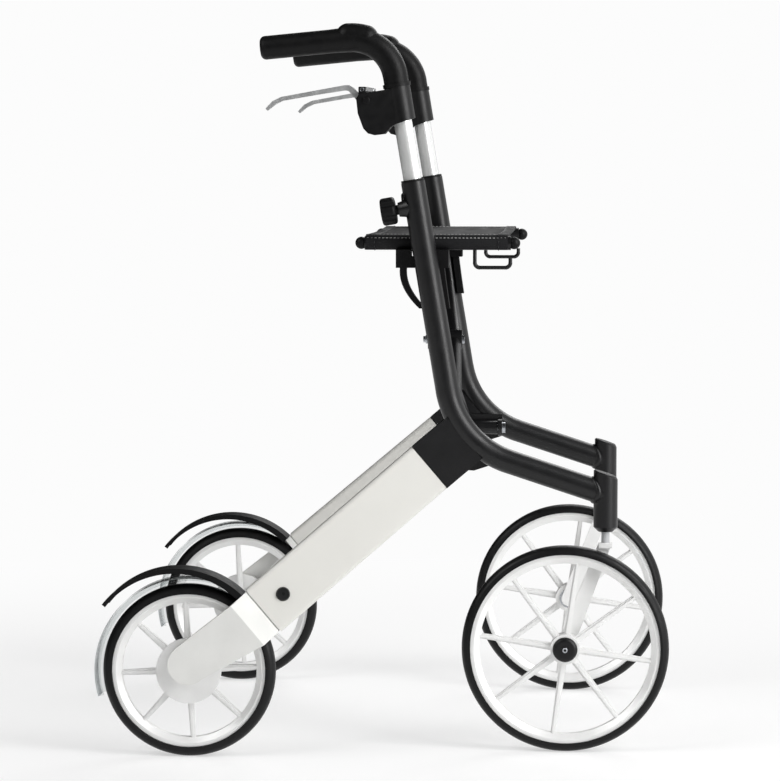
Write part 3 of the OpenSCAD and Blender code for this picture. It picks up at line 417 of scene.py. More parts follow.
def seat_webbing():
    """Woven polyester seat: black plain weave with a slight sheen."""
    colour = finish().cloth_black
    material, tree, shader = new_material("woven_polyester", IOR=1.5, Specular_IOR_Level=0.3)
    flat = add(tree, "ShaderNodeUVMap", {"uv_map": "cloth"}).outputs["UV"]
    # The threads are drawn 2.2 mm apart, coarser than the real 0.8 mm, so that the weave shows
    threads = [add(tree, "ShaderNodeTexWave", {"bands_direction": way, "wave_profile": "SIN"}, {
        "Vector": flat, "Scale": per_metre(2.2) / (2 * pi) * 2}) for way in ("X", "Y")]
    weave = add(tree, "ShaderNodeMath", {"operation": "MULTIPLY"}, {
        index: thread.outputs["Fac"] for index, thread in enumerate(threads)})
    tint = add(tree, "ShaderNodeMix", {"data_type": "RGBA"}, {
        "Factor": weave.outputs[0], MIX_LOW: linear(shade(colour, 0.75)),
        MIX_HIGH: linear(shade(colour, 1.35))})
    tree.links.new(tint.outputs[MIX_OUT], shader.inputs["Base Color"])
    roughen(tree, shader, flat, low=0.62, high=0.78, size_mm=20)
    emboss(tree, shader, weave.outputs[0], depth_mm=0.2, strength=0.3)
    return material


def sewing_thread(name, colour):
    """Bonded nylon thread: slightly shiny, a little uneven in colour."""
    material, tree, shader = new_material(name, IOR=1.53, Sheen_Weight=0.1)
    coords = add(tree, "ShaderNodeTexCoord").outputs["Object"]
    mottle(tree, shader, coords, shade(colour, 1.05), shade(colour, 0.85), size_mm=2)
    roughen(tree, shader, coords, low=0.45, high=0.6, size_mm=2)
    return material


# Which finish each piece takes, by its node name without the side
FINISHES = {
    "main_tube": "frame", "head_tube": "frame", "seat_rail": "frame", "bag_hook": "frame",
    "brace_a": "frame", "brace_b": "frame", "leg_socket": "frame", "leg": "leg", "leg_screw": "satin",
    "wheel_arm": "arm", "rear_axle": "zinc", "mudguard": "matt", "spray_guard": "clear",
    "brake_shoe": "block", "seat_saddle": "matt", "tube_collar": "matt", "height_knob": "matt",
    "handle_tube": "bright", "grip": "grip", "brake_housing": "satin", "brake_lever": "lever",
    "fork": "fork", "front_tyre": "tyre", "rear_tyre": "tyre", "front_rim": "rim", "rear_rim": "rim",
    "front_bearings": "zinc", "front_hub_cap": "satin", "pivot_bolt": "zinc", "centre_bolt": "zinc",
    "rail_caps": "matt", "seat_cloth": "cloth",
}
MATERIALS = {}


def make_materials():
    """Builds every finish once."""
    MATERIALS.update({
        "frame": powder_coat(), "leg": leg_enamel(), "arm": arm_lacquer(), "rim": rim_lacquer(),
        "satin": moulding("satin_abs", gloss=0.32, low=0.34, high=0.44, grain_mm=1.4, depth_mm=0.012),
        "matt": moulding("matt_polypropylene", gloss=0.17, low=0.42, high=0.56, grain_mm=1.8, depth_mm=0.12),
        "clear": clear_guard(), "tyre": tyre_rubber(), "bright": bright_tube(), "zinc": zinc(),
        "lever": lever_alloy(), "fork": fork_alloy(), "grip": grip_rubber(), "block": brake_block(),
        "cloth": seat_webbing(),
        "thread": sewing_thread("grey_nylon_thread", finish().thread_grey),
        "dark_thread": sewing_thread("black_nylon_thread", shade(finish().cloth_black, 1.6))})


def finish_of(node):
    """Name of the finish of a CAD node."""
    for side in SIDES:
        node = node.removeprefix(side + "_")
    return FINISHES[node]


class ROLLATOR_OT_finishes(bpy.types.Operator):
    """Gives every CAD node its finish"""
    bl_idname = "rollator.finishes"
    bl_label = "Finishes"

    def execute(self, context):
        make_materials()
        for name, node in NODES.items():
            node.data.materials.clear()
            node.data.materials.append(MATERIALS[finish_of(name)])
        return {"FINISHED"}


# Mesh and node-tree tools

def new_object(name, verts, faces=(), edges=()):
    """A mesh object at the origin, linked to the scene."""
    mesh = bpy.data.meshes.new(name)
    mesh.from_pydata([tuple(v) for v in verts], edges, faces)
    mesh.validate()
    piece = bpy.data.objects.new(name, mesh)
    bpy.context.scene.collection.objects.link(piece)
    return piece


def path_object(name, runs):
    """Edges only, one chain for each run of points."""
    verts, edges = [], []
    for run in runs:
        start = len(verts)
        verts += run
        edges += [(start + i, start + i + 1) for i in range(len(run) - 1)]
    return new_object(name, verts, edges=edges)


def strip_faces(rows, wide, ring):
    """Faces between rows of points, where each row is a closed ring or an open line."""
    last = wide if ring else wide - 1
    faces = []
    for j in range(rows - 1):
        low, high = j * wide, (j + 1) * wide
        for i in range(last):
            after = (i + 1) % wide
            faces.append((low + i, low + after, high + after, high + i))
    return faces


def end_faces(rows, wide):
    """The two faces that close a row of rings."""
    return [tuple(reversed(range(wide))), tuple((rows - 1) * wide + i for i in range(wide))]


def settle(piece, smooth=True):
    """Turns the piece with its modifiers into a plain mesh."""
    bpy.context.view_layer.update()
    evaluated = piece.evaluated_get(bpy.context.evaluated_depsgraph_get())
    mesh = bpy.data.meshes.new_from_object(evaluated)
    piece.modifiers.clear()
    piece.data = mesh
    for polygon in mesh.polygons:
        polygon.use_smooth = smooth
    return piece


def node_modifier(piece, tree, **values):
    """Puts a node tree on a piece and sets its named inputs by identifier."""
    modifier = piece.modifiers.new(tree.name, "NODES")
    modifier.node_group = tree
    for item in tree.interface.items_tree:
        if item.item_type == "SOCKET" and item.in_out == "INPUT" and item.name in values:
            modifier[item.identifier] = values[item.name]


def new_tree(name, sizes):
    """A geometry tree with named size inputs."""
    tree = bpy.data.node_groups.new(name, "GeometryNodeTree")
    tree.interface.new_socket("Geometry", in_out="INPUT", socket_type="NodeSocketGeometry")
    for size in sizes:
        tree.interface.new_socket(size, in_out="INPUT", socket_type="NodeSocketFloat")
    tree.interface.new_socket("Geometry", in_out="OUTPUT", socket_type="NodeSocketGeometry")
    return tree, add(tree, "NodeGroupInput").outputs


def painted(tree, geometry, material):
    """Realizes the instances and sets their material."""
    real = add(tree, "GeometryNodeRealizeInstances", inputs={"Geometry": geometry})
    coat = add(tree, "GeometryNodeSetMaterial", inputs={"Geometry": real.outputs[0], "Material": material})
    return coat.outputs[0]


# Seat

# Steps of the cloth round a rail, from rail to rail and along the rails
WRAP_STEPS = 10
SHEET_STEPS = 4 * WRAP_STEPS
CLOTH_COLUMNS = 48
# The cloth in the order of its line: a sleeve on each rail and the sheet between them, each with its body
CLOTH_PARTS = (("right_sleeve", "brace_b"), ("seat", "seat"), ("left_sleeve", "brace_a"))
# Length of each wave of the pull folds, how it slants towards a rail, and its share of the depth
PULL_WAVES = ((34 * MM, 3, 0.6), (21 * MM, -5, 0.4))
# How far a hem stands above the cloth, and the share of its half thickness left inside where it passes a rail
HEM_RISE = 0.5 * MM
HEM_INSIDE = 0.35
# Shares of a hem's width: its flat face, and the place of its stitches
HEM_FACE = 0.9
HEM_SEAM = 0.85
# Spacing of a hem's points in its flat map
HEM_STEP = 3 * MM
# Edges of the cloth and of the hems that turn by more than this stay sharp
CLOTH_SHARP = radians(40)
HEM_SHARP = radians(60)
# Angles of the stitch rows round a rail, from its outside over its top
SLEEVE_ROW = radians(38)
SHEET_ROW = radians(118)
# Height of these rows off the cloth, how much lower those of the sheet lie, and where they end
ROW_RISE = 0.1 * MM
SHEET_ROW_SINK = 0.2 * MM
ROW_MARGIN = 3 * MM


def cloth_line(lift):
    """Points (y, z) and normals of the cloth across the rails, lifted off its middle surface."""
    r = RAIL_R + CLOTH_GAP + CLOTH_T / 2 + lift
    wrap = seat().wrap
    turns = [wrap + (pi / 2 - wrap) * i / WRAP_STEPS for i in range(WRAP_STEPS + 1)]
    right = [((-RAIL.y - r * cos(a), RAIL.z + r * sin(a)), (-cos(a), sin(a))) for a in turns]
    left = [((RAIL.y + r * cos(a), RAIL.z + r * sin(a)), (cos(a), sin(a))) for a in reversed(turns)]
    sheet = []
    for i in range(1, SHEET_STEPS):
        y = RAIL.y * (2 * i / SHEET_STEPS - 1)
        sheet.append(((y, RAIL.z + r - seat().sag * (1 - (y / RAIL.y) ** 2)), (0, 1)))
    return right + sheet + left


def pull_fold(x, y):
    """Depth of the folds that the load pulls in the sheet, deepest half-way to a rail."""
    share = abs(y) / RAIL.y
    if share >= 1:
        return 0.0
    waves = sum(sin(x * 2 * pi / length + slant * share) * part for length, slant, part in PULL_WAVES)
    return seat().ripple * waves * share * (1 - share) * 4


def cloth_part(line, part):
    """The part of a cloth line that lies on one rail or between them."""
    if part == "right_sleeve":
        return line[:WRAP_STEPS + 1]
    if part == "left_sleeve":
        return line[-WRAP_STEPS - 1:]
    return line[WRAP_STEPS:-WRAP_STEPS]


def lay_flat(piece, flat):
    """Keeps the flat place of each point of the cloth in a UV map."""
    layer = piece.data.uv_layers.new(name="cloth")
    for loop in piece.data.loops:
        layer.data[loop.index].uv = flat[loop.vertex_index]


def cloth_mesh(name, line, start):
    """Part of the cloth with its flat lengths, and the run of its line."""
    length = CLOTH_HIGH.x - CLOTH_LOW.x
    verts, flat = [], []
    run = 0.0
    for j, ((y, z), _) in enumerate(line):
        if j:
            y_before, z_before = line[j - 1][0]
            run += sqrt((y - y_before) ** 2 + (z - z_before) ** 2)
        for i in range(CLOTH_COLUMNS + 1):
            x = CLOTH_LOW.x + length * i / CLOTH_COLUMNS
            verts.append((x, y, z + pull_fold(x, y)))
            flat.append((x, start + run))
    piece = new_object(name, verts, strip_faces(len(line), CLOTH_COLUMNS + 1, ring=False))
    lay_flat(piece, flat)
    wall = piece.modifiers.new("wall", "SOLIDIFY")
    wall.thickness = CLOTH_T
    wall.offset = 0
    piece.data.materials.append(MATERIALS["cloth"])
    settle(piece)
    piece.data.set_sharp_from_angle(angle=CLOTH_SHARP)
    return piece, run


def hem_mesh(name, x_mid, line):
    """A folded hem round the edge of the cloth at x_mid."""
    half_w = seat().hem_w / 2
    half_t = CLOTH_T / 2 + HEM_RISE
    face = half_w * HEM_FACE
    section = [(-half_w, 0), (-face, half_t), (face, half_t), (half_w, 0), (face, -half_t), (-face, -half_t)]
    verts, flat = [], []
    for j, ((y, z), (ny, nz)) in enumerate(line):
        on_rail = abs(y) > RAIL.y or z > RAIL.z + RAIL_R
        inner = HEM_INSIDE if on_rail else 1.0
        for dx, dn in section:
            off = dn if dn > 0 else dn * inner
            verts.append((x_mid + dx, y + ny * off, z + nz * off + pull_fold(x_mid + dx, y)))
            flat.append((x_mid + dx + dn, j * HEM_STEP))
    faces = strip_faces(len(line), len(section), ring=True) + end_faces(len(line), len(section))
    piece = new_object(name, verts, faces)
    lay_flat(piece, flat)
    piece.data.materials.append(MATERIALS["cloth"])
    for polygon in piece.data.polygons:
        polygon.use_smooth = True
    piece.data.set_sharp_from_angle(angle=HEM_SHARP)
    return piece


def hem_pieces(part, line):
    """The folded hems at the rear and front edge of a part of the cloth."""
    half_w = seat().hem_w / 2
    ends = (("rear", CLOTH_LOW.x + half_w), ("front", CLOTH_HIGH.x - half_w))
    return [hem_mesh(f"{part}_hem_{end}", x, line) for end, x in ends]


def stitch_tree(name, thread_finish):
    """Stitches laid end to end along the edges of a path."""
    tree, sizes = new_tree(name, ("Length", "Pitch", "Thickness"))
    line = add(tree, "GeometryNodeMeshToCurve", inputs={"Mesh": sizes["Geometry"]})
    places = add(tree, "GeometryNodeCurveToPoints", {"mode": "LENGTH"}, {
        "Curve": line.outputs[0], "Length": sizes["Pitch"]})
    turn = add(tree, "FunctionNodeAlignRotationToVector", {"axis": "X"}, {
        "Vector": places.outputs["Tangent"]})
    size = add(tree, "ShaderNodeCombineXYZ", inputs={
        "X": sizes["Length"], "Y": sizes["Thickness"], "Z": sizes["Thickness"]})
    thread = add(tree, "GeometryNodeMeshUVSphere", inputs={"Segments": 6, "Rings": 5, "Radius": 0.5})
    laid = add(tree, "GeometryNodeInstanceOnPoints", inputs={
        "Points": places.outputs["Points"], "Instance": thread.outputs["Mesh"], "Rotation": turn.outputs[0],
        "Scale": size.outputs[0]})
    add(tree, "NodeGroupOutput", inputs={"Geometry": painted(tree, laid.outputs[0], thread_finish)})
    return tree


def rail_rows(part):
    """Stitch rows along the rails: one on the outside of each sleeve, two on the sheet beside the rails."""
    edge = RAIL_R + CLOTH_GAP + CLOTH_T + ROW_RISE
    rows = []
    for side in SIDES:
        if part == "seat":
            y = OUTWARDS[side] * (RAIL.y + edge * cos(SHEET_ROW))
            z = RAIL.z + edge - SHEET_ROW_SINK
        elif part == f"{side}_sleeve":
            y = OUTWARDS[side] * (RAIL.y + edge * cos(SLEEVE_ROW))
            z = RAIL.z + edge * sin(SLEEVE_ROW)
        else:
            continue
        rows.append([(CLOTH_LOW.x + ROW_MARGIN, y, z), (CLOTH_HIGH.x - ROW_MARGIN, y, z)])
    return rows


def hem_rows(top):
    """Stitch rows along the two hems, on the top of the cloth."""
    inset = seat().hem_w * HEM_SEAM
    rows = []
    for x in (CLOTH_LOW.x + inset, CLOTH_HIGH.x - inset):
        rows.append([(x, y + ny * HEM_RISE, z + nz * HEM_RISE + pull_fold(x, y)) for (y, z), (ny, nz) in top])
    return rows


def sewing(part, top):
    """The stitches along the rails and along the hems of a part of the cloth."""
    pieces = []
    for kind, rows, thread in (("rail", rail_rows(part), "thread"), ("hem", hem_rows(top), "dark_thread")):
        stitches = path_object(f"{part}_{kind}_stitches", rows)
        node_modifier(stitches, stitch_tree(stitches.name, MATERIALS[thread]), Length=seat().stitch_l,
                      Pitch=seat().stitch_gap, Thickness=seat().thread_d)
        pieces.append(settle(stitches))
    return pieces


def follow_fold(piece, body):
    """The sleeves turn with their rails, and the sheet goes with the seat body and gets a mesh of its own."""
    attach(piece, body)
    if body == "seat":
        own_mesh(piece)


class ROLLATOR_OT_seat(bpy.types.Operator):
    """Makes the seat cloth with its hems and stitches"""
    bl_idname = "rollator.seat"
    bl_label = "Seat"

    def execute(self, context):
        line = cloth_line(0.0)
        top = cloth_line(CLOTH_T / 2)
        start = 0.0
        for part, body in CLOTH_PARTS:
            cloth, run = cloth_mesh(f"{part}_webbing", cloth_part(line, part), start)
            start += run
            extras = hem_pieces(part, cloth_part(line, part))
            extras += sewing(part, cloth_part(top, part))
            for piece in [cloth] + extras:
                follow_fold(piece, body)
            if part == "seat":
                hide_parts("seat_cloth")
        return {"FINISHED"}


# Screws

# Diameter and height of the heads
HUB_SCREW = (7.5 * MM, 0.9 * MM)
LEVER_SCREW = (9 * MM, 1.2 * MM)
LEG_SCREW = (9 * MM, 0.8 * MM)
CLIP_SCREW = (5.4 * MM, 0.8 * MM)
# How deep a hub screw sits in its cap, and a leg screw below the box of its button
HUB_SCREW_SINK = 0.6 * MM
LEG_SCREW_SINK = 2.6 * MM
# Shares of a head's diameter: the radius of its flat top and of its hexagon, a thin disc of painted shade
# that stands in for the socket recess
HEAD_TOP = 0.36
HEXAGON = 0.24
HEXAGON_T = 0.1 * MM
HEAD_STEPS = 24


def screw_tree(name, head, socket_shade):
    """Socket screws that stand on points, each along its point's way attribute, with a flat disc of painted
    shade in place of each socket recess.
    """
    tree, sizes = new_tree(name, ("Diameter", "Height"))
    way = add(tree, "GeometryNodeInputNamedAttribute", {"data_type": "FLOAT_VECTOR"}, {"Name": "way"})
    turn = add(tree, "FunctionNodeAlignRotationToVector", {"axis": "Z"}, {"Vector": way.outputs[0]})
    radius, top, key = (
        add(tree, "ShaderNodeMath", {"operation": "MULTIPLY"}, {0: sizes["Diameter"], 1: share}).outputs[0]
        for share in (0.5, HEAD_TOP, HEXAGON))
    dome = add(tree, "GeometryNodeMeshCone", inputs={
        "Vertices": HEAD_STEPS, "Side Segments": 1, "Radius Top": top, "Radius Bottom": radius,
        "Depth": sizes["Height"]})
    lift = add(tree, "ShaderNodeCombineXYZ", inputs={"Z": sizes["Height"]})
    # The hexagon is a thin disc laid on top of the head in the material given for the socket: painted shade
    # in place of a recessed socket
    hexagon = add(tree, "GeometryNodeMeshCone", inputs={
        "Vertices": 6, "Side Segments": 1, "Radius Top": key, "Radius Bottom": key, "Depth": HEXAGON_T})
    raised = add(tree, "GeometryNodeTransform", inputs={
        "Geometry": hexagon.outputs["Mesh"], "Translation": lift.outputs[0]})
    joined = add(tree, "GeometryNodeJoinGeometry")
    for geometry, material in ((dome.outputs["Mesh"], head), (raised.outputs[0], socket_shade)):
        laid = add(tree, "GeometryNodeInstanceOnPoints", inputs={
            "Points": sizes["Geometry"], "Instance": geometry, "Rotation": turn.outputs[0]})
        tree.links.new(painted(tree, laid.outputs[0], material), joined.inputs[0])
    add(tree, "NodeGroupOutput", inputs={"Geometry": joined.outputs[0]})
    return tree


def place_screws(name, tree, places, size):
    """Screws of one size at (point, direction) places as one mesh."""
    piece = new_object(name, [point for point, _ in places])
    ways = piece.data.attributes.new("way", "FLOAT_VECTOR", "POINT")
    for index, (_, way) in enumerate(places):
        ways.data[index].vector = way
    diameter, height = size
    node_modifier(piece, tree, Diameter=diameter, Height=height)
    return settle(piece, smooth=False)


class ROLLATOR_OT_screws(bpy.types.Operator):
    """Sets the screws of hubs, legs and brake housings"""
    bl_idname = "rollator.screws"
    bl_label = "Screws"

    def execute(self, context):
        # The satin black on the hexagon of the zinc heads is painted shade for their socket recess
        bright = screw_tree("bright_screw", MATERIALS["zinc"], MATERIALS["satin"])
        dark = screw_tree("dark_screw", MATERIALS["matt"], MATERIALS["matt"])
        for side in SIDES:
            out = OUTWARDS[side]
            cap = middle(f"{side}_front_hub_cap")
            face = cap.y + out * span(f"{side}_front_hub_cap").y / 2
            hub_at = Vector((cap.x, face - out * HUB_SCREW_SINK, cap.z))
            hub = place_screws(f"{side}_hub_screw", bright, [(hub_at, (0, out, 0))], HUB_SCREW)
            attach(hub, f"{side}_front_wheel")
            box = middle(f"{side}_brake_housing")
            half = span(f"{side}_brake_housing").y / 2
            pivot = joint_place(f"{side}_brake")
            rivets = [(Vector((pivot.x, box.y + s * half, pivot.z)), (0, s, 0)) for s in (-1, 1)]
            rivet = place_screws(f"{side}_lever_screws", dark, rivets, LEVER_SCREW)
            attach(rivet, f"{side}_handle")
            button = middle(f"{side}_leg_screw")
            way = Vector((
                sin(LEG_SPLAY) * cos(LEG_SLOPE), out * cos(LEG_SPLAY), sin(LEG_SPLAY) * sin(LEG_SLOPE)))
            top = button + way * (span(f"{side}_leg_screw").y / 2 - LEG_SCREW_SINK)
            dimple = place_screws(f"{side}_leg_socket_screw", dark, [(top, way)], LEG_SCREW)
            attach(dimple, f"{side}_frame")
        return {"FINISHED"}


# Cable clips and adjusters

# Place of both beside the middle of a brake housing, and then of each from the lever's pivot
ADJUSTER_OUT = 8.8 * MM
CLIP_AT = Vector((-5.2, 0, 11.4)) * MM
BARREL_AT = Vector((-1.2, 0, 13)) * MM
BARREL_WAY = (1, 0, -0.18)
CLIP_SIZE = (9 * MM, 8 * MM, 10 * MM)
CLIP_EDGE = 1.2 * MM
CLIP_SCREW_RISE = 1.5 * MM
# Outline of the adjuster as (length, radius): a collar, a groove, a sleeve and a narrower end
BARREL = [(length * MM, radius * MM) for length, radius in (
    (0.0, 2.0), (0.0, 3.1), (0.5, 3.6), (2.2, 3.6), (2.5, 3.1), (2.9, 3.1),
    (3.2, 3.6), (9.6, 3.6), (10.2, 3.2), (11.4, 3.2), (12.0, 2.2))]
BARREL_STEPS = 24


def turned(name, start, way, profile, steps):
    """A piece turned about the line from start along way, from (length, radius) points."""
    way = Vector(way).normalized()
    across = way.cross(Vector((0, 1, 0))).normalized()
    beside = way.cross(across)
    verts = []
    for length, radius in profile:
        for i in range(steps):
            a = 2 * pi * i / steps
            verts.append(start + way * length + (across * cos(a) + beside * sin(a)) * radius)
    faces = strip_faces(len(profile), steps, ring=True) + end_faces(len(profile), steps)
    return new_object(name, verts, faces)


def block(name, centre, size, edge):
    """A block with rounded edges."""
    half = [length / 2 for length in size]
    signs = [(x, y, z) for z in (-1, 1) for y in (-1, 1) for x in (-1, 1)]
    verts = [Vector(centre) + Vector((x * half[0], y * half[1], z * half[2])) for x, y, z in signs]
    faces = [(0, 2, 3, 1), (4, 5, 7, 6), (0, 1, 5, 4), (2, 6, 7, 3), (0, 4, 6, 2), (1, 3, 7, 5)]
    piece = new_object(name, verts, faces)
    rounding = piece.modifiers.new("edge", "BEVEL")
    rounding.width = edge
    rounding.segments = 3
    return settle(piece)


class ROLLATOR_OT_adjusters(bpy.types.Operator):
    """Makes the cable clip and adjuster on each brake housing"""
    bl_idname = "rollator.adjusters"
    bl_label = "Cable adjusters"

    def execute(self, context):
        # The satin black on the hexagon of the zinc heads is painted shade for their socket recess
        bright = screw_tree("clip_screw", MATERIALS["zinc"], MATERIALS["satin"])
        for side in SIDES:
            out = OUTWARDS[side]
            pivot = joint_place(f"{side}_brake")
            base = Vector((pivot.x, middle(f"{side}_brake_housing").y + out * ADJUSTER_OUT, pivot.z))
            clip_at = base + CLIP_AT
            clip = block(f"{side}_cable_clip", clip_at, CLIP_SIZE, CLIP_EDGE)
            clip.data.materials.append(MATERIALS["matt"])
            face = clip_at + Vector((0, out * CLIP_SIZE[1] / 2, CLIP_SCREW_RISE))
            screw = place_screws(f"{side}_clip_screw", bright, [(face, (0, out, 0))], CLIP_SCREW)
            barrel = turned(f"{side}_cable_adjuster", base + BARREL_AT, BARREL_WAY, BARREL, BARREL_STEPS)
            barrel.data.materials.append(MATERIALS["lever"])
            for piece, slot in ((clip, "black_plastic"), (screw, "steel"), (barrel, "steel")):
                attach(piece, f"{side}_handle")
        return {"FINISHED"}


# Welds at the steering heads

# How far the drops of a bead reach into the tube and stand above it, and how close they lie
WELD_SINK = 2.6 * MM
WELD_RISE = 1.6 * MM
WELD_PITCH = 1.2 * MM
WELD_STEPS = 48
# Fall of the lower main tube, and the height at which it meets the axis of the steering head
TUBE_DROP = radians(18.2)
HEAD_JOINT_Z = 0.311


def weld_tree():
    """Overlapping drops of a weld along a path."""
    tree, sizes = new_tree("weld_bead", ("Pitch", "Radius"))
    line = add(tree, "GeometryNodeMeshToCurve", inputs={"Mesh": sizes["Geometry"]})
    places = add(tree, "GeometryNodeCurveToPoints", {"mode": "LENGTH"}, {
        "Curve": line.outputs[0], "Length": sizes["Pitch"]})
    drop = add(tree, "GeometryNodeMeshIcoSphere", inputs={"Radius": sizes["Radius"], "Subdivisions": 2})
    laid = add(tree, "GeometryNodeInstanceOnPoints", inputs={
        "Points": places.outputs["Points"], "Instance": drop.outputs["Mesh"]})
    add(tree, "NodeGroupOutput", inputs={"Geometry": painted(tree, laid.outputs[0], MATERIALS["frame"])})
    return tree


def weld_path(side):
    """Line where the lower main tube meets the steering head."""
    head = middle(f"{side}_head_tube")
    head_r = span(f"{side}_head_tube").x / 2
    bead_r = span(f"{side}_main_tube").y / 2 - WELD_SINK
    points = []
    for i in range(WELD_STEPS + 1):
        a = 2 * pi * i / WELD_STEPS
        y = bead_r * sin(a)
        rear = sqrt(max(head_r ** 2 - y ** 2, 0))
        z = HEAD_JOINT_Z + rear * tan(TUBE_DROP) + bead_r * cos(a) / cos(TUBE_DROP)
        points.append((head.x - rear, head.y + y, z))
    return points


class ROLLATOR_OT_welds(bpy.types.Operator):
    """Lays the weld beads round the steering heads"""
    bl_idname = "rollator.welds"
    bl_label = "Welds"

    def execute(self, context):
        tree = weld_tree()
        for side in SIDES:
            bead = path_object(f"{side}_head_weld", [weld_path(side)])
            node_modifier(bead, tree, Pitch=WELD_PITCH, Radius=WELD_SINK + WELD_RISE)
            settle(bead)
            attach(bead, f"{side}_frame")
        return {"FINISHED"}


# Studio

BACKDROP = "#fcfcfc"
FLOOR_REACH = 3.2
# The floor turns from half shaded to plain light between these distances from the middle
SHADOW_NEAR = 0.4
SHADOW_FAR = 1.6
SHADOW_GLOW = 0.5
# Brightness of the surroundings at the rear, and the forward parts of a direction between which it rises
REAR_LEVEL = 0.08
RISE_FROM = 0.1
RISE_TO = 0.75
# Direction of the dark card, the cosines at its rim, and its brightness
CARD_WAY = (-0.53, 0.848, 0.0)
CARD_OUTER = 0.7
CARD_INNER = 0.8
CARD_LEVEL = 0.04
# Place, width and height of each soft box, and the point that they look at
KEY_BOX = ((2.0, -1.5, 1.45), 1.2, 2.4)
FILL_BOX = ((-2.3, -1.7, 2.7), 2.0, 2.0)
BACK_BOX = ((0.9, 2.8, 2.4), 2.0, 2.0)
AIM = (0.0, 0.0, 0.4)
SENSOR_W = 36.0


def floor_material():
    """Pale floor that the camera and reflections see as plain light, with shadows kept near the object."""
    material = bpy.data.materials.new("studio_floor")
    material.use_nodes = True
    tree = material.node_tree
    tree.nodes.clear()
    diffuse = add(tree, "ShaderNodeBsdfDiffuse", inputs={"Color": linear(BACKDROP)})
    glow = add(tree, "ShaderNodeEmission", inputs={"Color": linear(BACKDROP), "Strength": 1.0})
    path = add(tree, "ShaderNodeLightPath")
    seen = add(tree, "ShaderNodeMath", {"operation": "MAXIMUM"}, {
        0: path.outputs["Is Camera Ray"], 1: path.outputs["Is Glossy Ray"]})
    coords = add(tree, "ShaderNodeTexCoord").outputs["Object"]
    away = add(tree, "ShaderNodeVectorMath", {"operation": "LENGTH"}, {0: coords})
    fade = add(tree, "ShaderNodeMapRange", {"interpolation_type": "SMOOTHSTEP"}, {
        "Value": away.outputs["Value"], "From Min": SHADOW_NEAR, "From Max": SHADOW_FAR,
        "To Min": SHADOW_GLOW, "To Max": 1.0})
    share = add(tree, "ShaderNodeMath", {"operation": "MULTIPLY"}, {0: seen.outputs[0], 1: fade.outputs[0]})
    mix = add(tree, "ShaderNodeMixShader", inputs={
        0: share.outputs[0], 1: diffuse.outputs[0], 2: glow.outputs[0]})
    add(tree, "ShaderNodeOutputMaterial", inputs={"Surface": mix.outputs[0]})
    return material


def studio_world():
    """Pale surroundings, plain to the camera, bright at the front, with a dark card on the far rear side."""
    world = bpy.data.worlds.new("studio")
    world.use_nodes = True
    tree = world.node_tree
    tree.nodes.clear()
    path = add(tree, "ShaderNodeLightPath")
    seen = add(tree, "ShaderNodeMath", {"operation": "MAXIMUM"}, {
        0: path.outputs["Is Camera Ray"], 1: path.outputs["Is Transmission Ray"]})
    direction = add(tree, "ShaderNodeTexCoord").outputs["Generated"]
    way = add(tree, "ShaderNodeSeparateXYZ", inputs={"Vector": direction})
    side = add(tree, "ShaderNodeMapRange", inputs={
        "Value": way.outputs["X"], "From Min": RISE_FROM, "From Max": RISE_TO,
        "To Min": REAR_LEVEL, "To Max": 1.0})
    facing = add(tree, "ShaderNodeVectorMath", {"operation": "DOT_PRODUCT"}, {0: direction, 1: CARD_WAY})
    card = add(tree, "ShaderNodeMapRange", inputs={
        "Value": facing.outputs["Value"], "From Min": CARD_OUTER, "From Max": CARD_INNER,
        "To Min": 1.0, "To Max": CARD_LEVEL})
    lit = add(tree, "ShaderNodeMath", {"operation": "MULTIPLY"}, {0: side.outputs[0], 1: card.outputs[0]})
    level = add(tree, "ShaderNodeMapRange", inputs={
        "Value": seen.outputs[0], "To Min": lit.outputs[0], "To Max": 1.0})
    light = add(tree, "ShaderNodeBackground", inputs={
        "Color": linear(BACKDROP), "Strength": level.outputs[0]})
    add(tree, "ShaderNodeOutputWorld", inputs={"Surface": light.outputs[0]})
    bpy.context.scene.world = world


def area_light(name, box, power):
    """Soft box that looks at the object."""
    place, width, height = box
    lamp = bpy.data.lights.new(name, "AREA")
    lamp.shape = "RECTANGLE"
    lamp.size = width
    lamp.size_y = height
    lamp.energy = power
    holder = bpy.data.objects.new(name, lamp)
    holder.location = place
    holder.rotation_euler = (Vector(AIM) - Vector(place)).to_track_quat("-Z", "Y").to_euler()
    bpy.context.scene.collection.objects.link(holder)


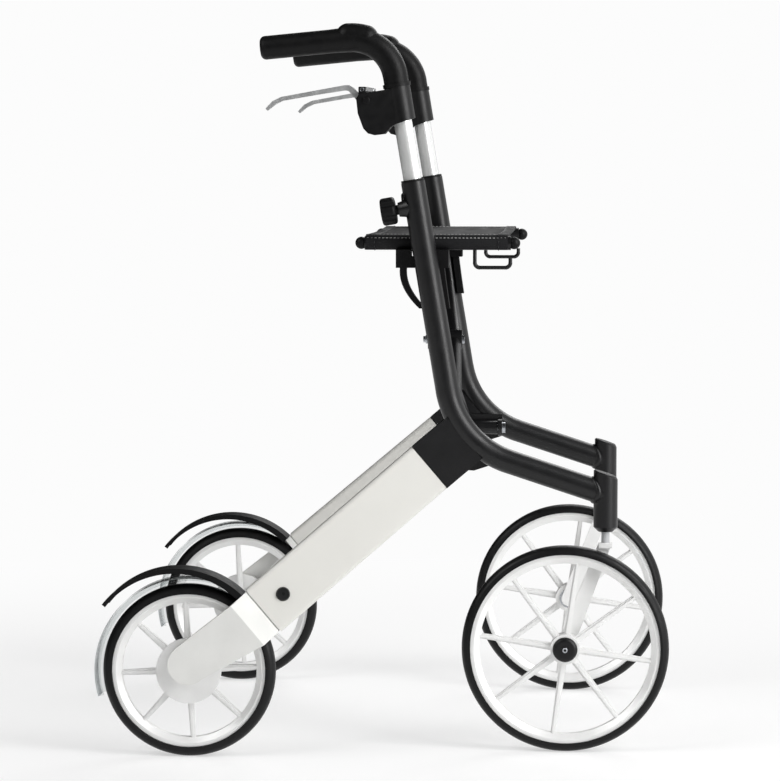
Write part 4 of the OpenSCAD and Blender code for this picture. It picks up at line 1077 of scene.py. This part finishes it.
class ROLLATOR_OT_stage(bpy.types.Operator):
    """Sets the floor, light and camera"""
    bl_idname = "rollator.stage"
    bl_label = "Stage"

    def execute(self, context):
        setting = context.scene.rollator_stage
        reach = FLOOR_REACH
        corners = [(-reach, -reach, 0), (reach, -reach, 0), (reach, reach, 0), (-reach, reach, 0)]
        floor = new_object("floor", corners, [(0, 1, 2, 3)])
        floor.data.materials.append(floor_material())
        studio_world()
        area_light("key_light", KEY_BOX, setting.key_power)
        area_light("fill_light", FILL_BOX, setting.fill_power)
        area_light("back_light", BACK_BOX, setting.fill_power)
        lens = bpy.data.cameras.new("camera")
        lens.lens = setting.lens
        lens.sensor_width = SENSOR_W
        lens.sensor_fit = "HORIZONTAL"
        camera = bpy.data.objects.new("camera", lens)
        camera.location = setting.eye
        camera.rotation_euler = (pi / 2 - setting.pitch, 0.0, setting.yaw)
        context.scene.collection.objects.link(camera)
        context.scene.camera = camera
        context.scene.view_settings.view_transform = "Standard"
        return {"FINISHED"}


class ROLLATOR_PT_panel(bpy.types.Panel):
    """Lists the steps that dress the rollator"""
    bl_label = "Rollator"
    bl_space_type = "VIEW_3D"
    bl_region_type = "UI"
    bl_category = "Rollator"

    def draw(self, context):
        for step in STEPS:
            self.layout.operator(step.bl_idname)


STEPS = (
    ROLLATOR_OT_finishes, ROLLATOR_OT_seat, ROLLATOR_OT_screws, ROLLATOR_OT_adjusters, ROLLATOR_OT_welds,
    ROLLATOR_OT_stage)
GROUPS = (
    ("rollator_finish", RollatorFinish), ("rollator_seat", RollatorSeat), ("rollator_stage", RollatorStage))


def register():
    for name, group in GROUPS:
        bpy.utils.register_class(group)
        setattr(bpy.types.Scene, name, PointerProperty(type=group))
    for step in STEPS + (ROLLATOR_PT_panel,):
        bpy.utils.register_class(step)


def unregister():
    for step in reversed(STEPS + (ROLLATOR_PT_panel,)):
        bpy.utils.unregister_class(step)
    for name, group in reversed(GROUPS):
        delattr(bpy.types.Scene, name)
        bpy.utils.unregister_class(group)


def main():
    register()
    bpy.ops.rollator.finishes()
    bpy.ops.rollator.seat()
    bpy.ops.rollator.screws()
    bpy.ops.rollator.adjusters()
    bpy.ops.rollator.welds()
    bpy.ops.rollator.stage()


if __name__ == "__main__":
    main()
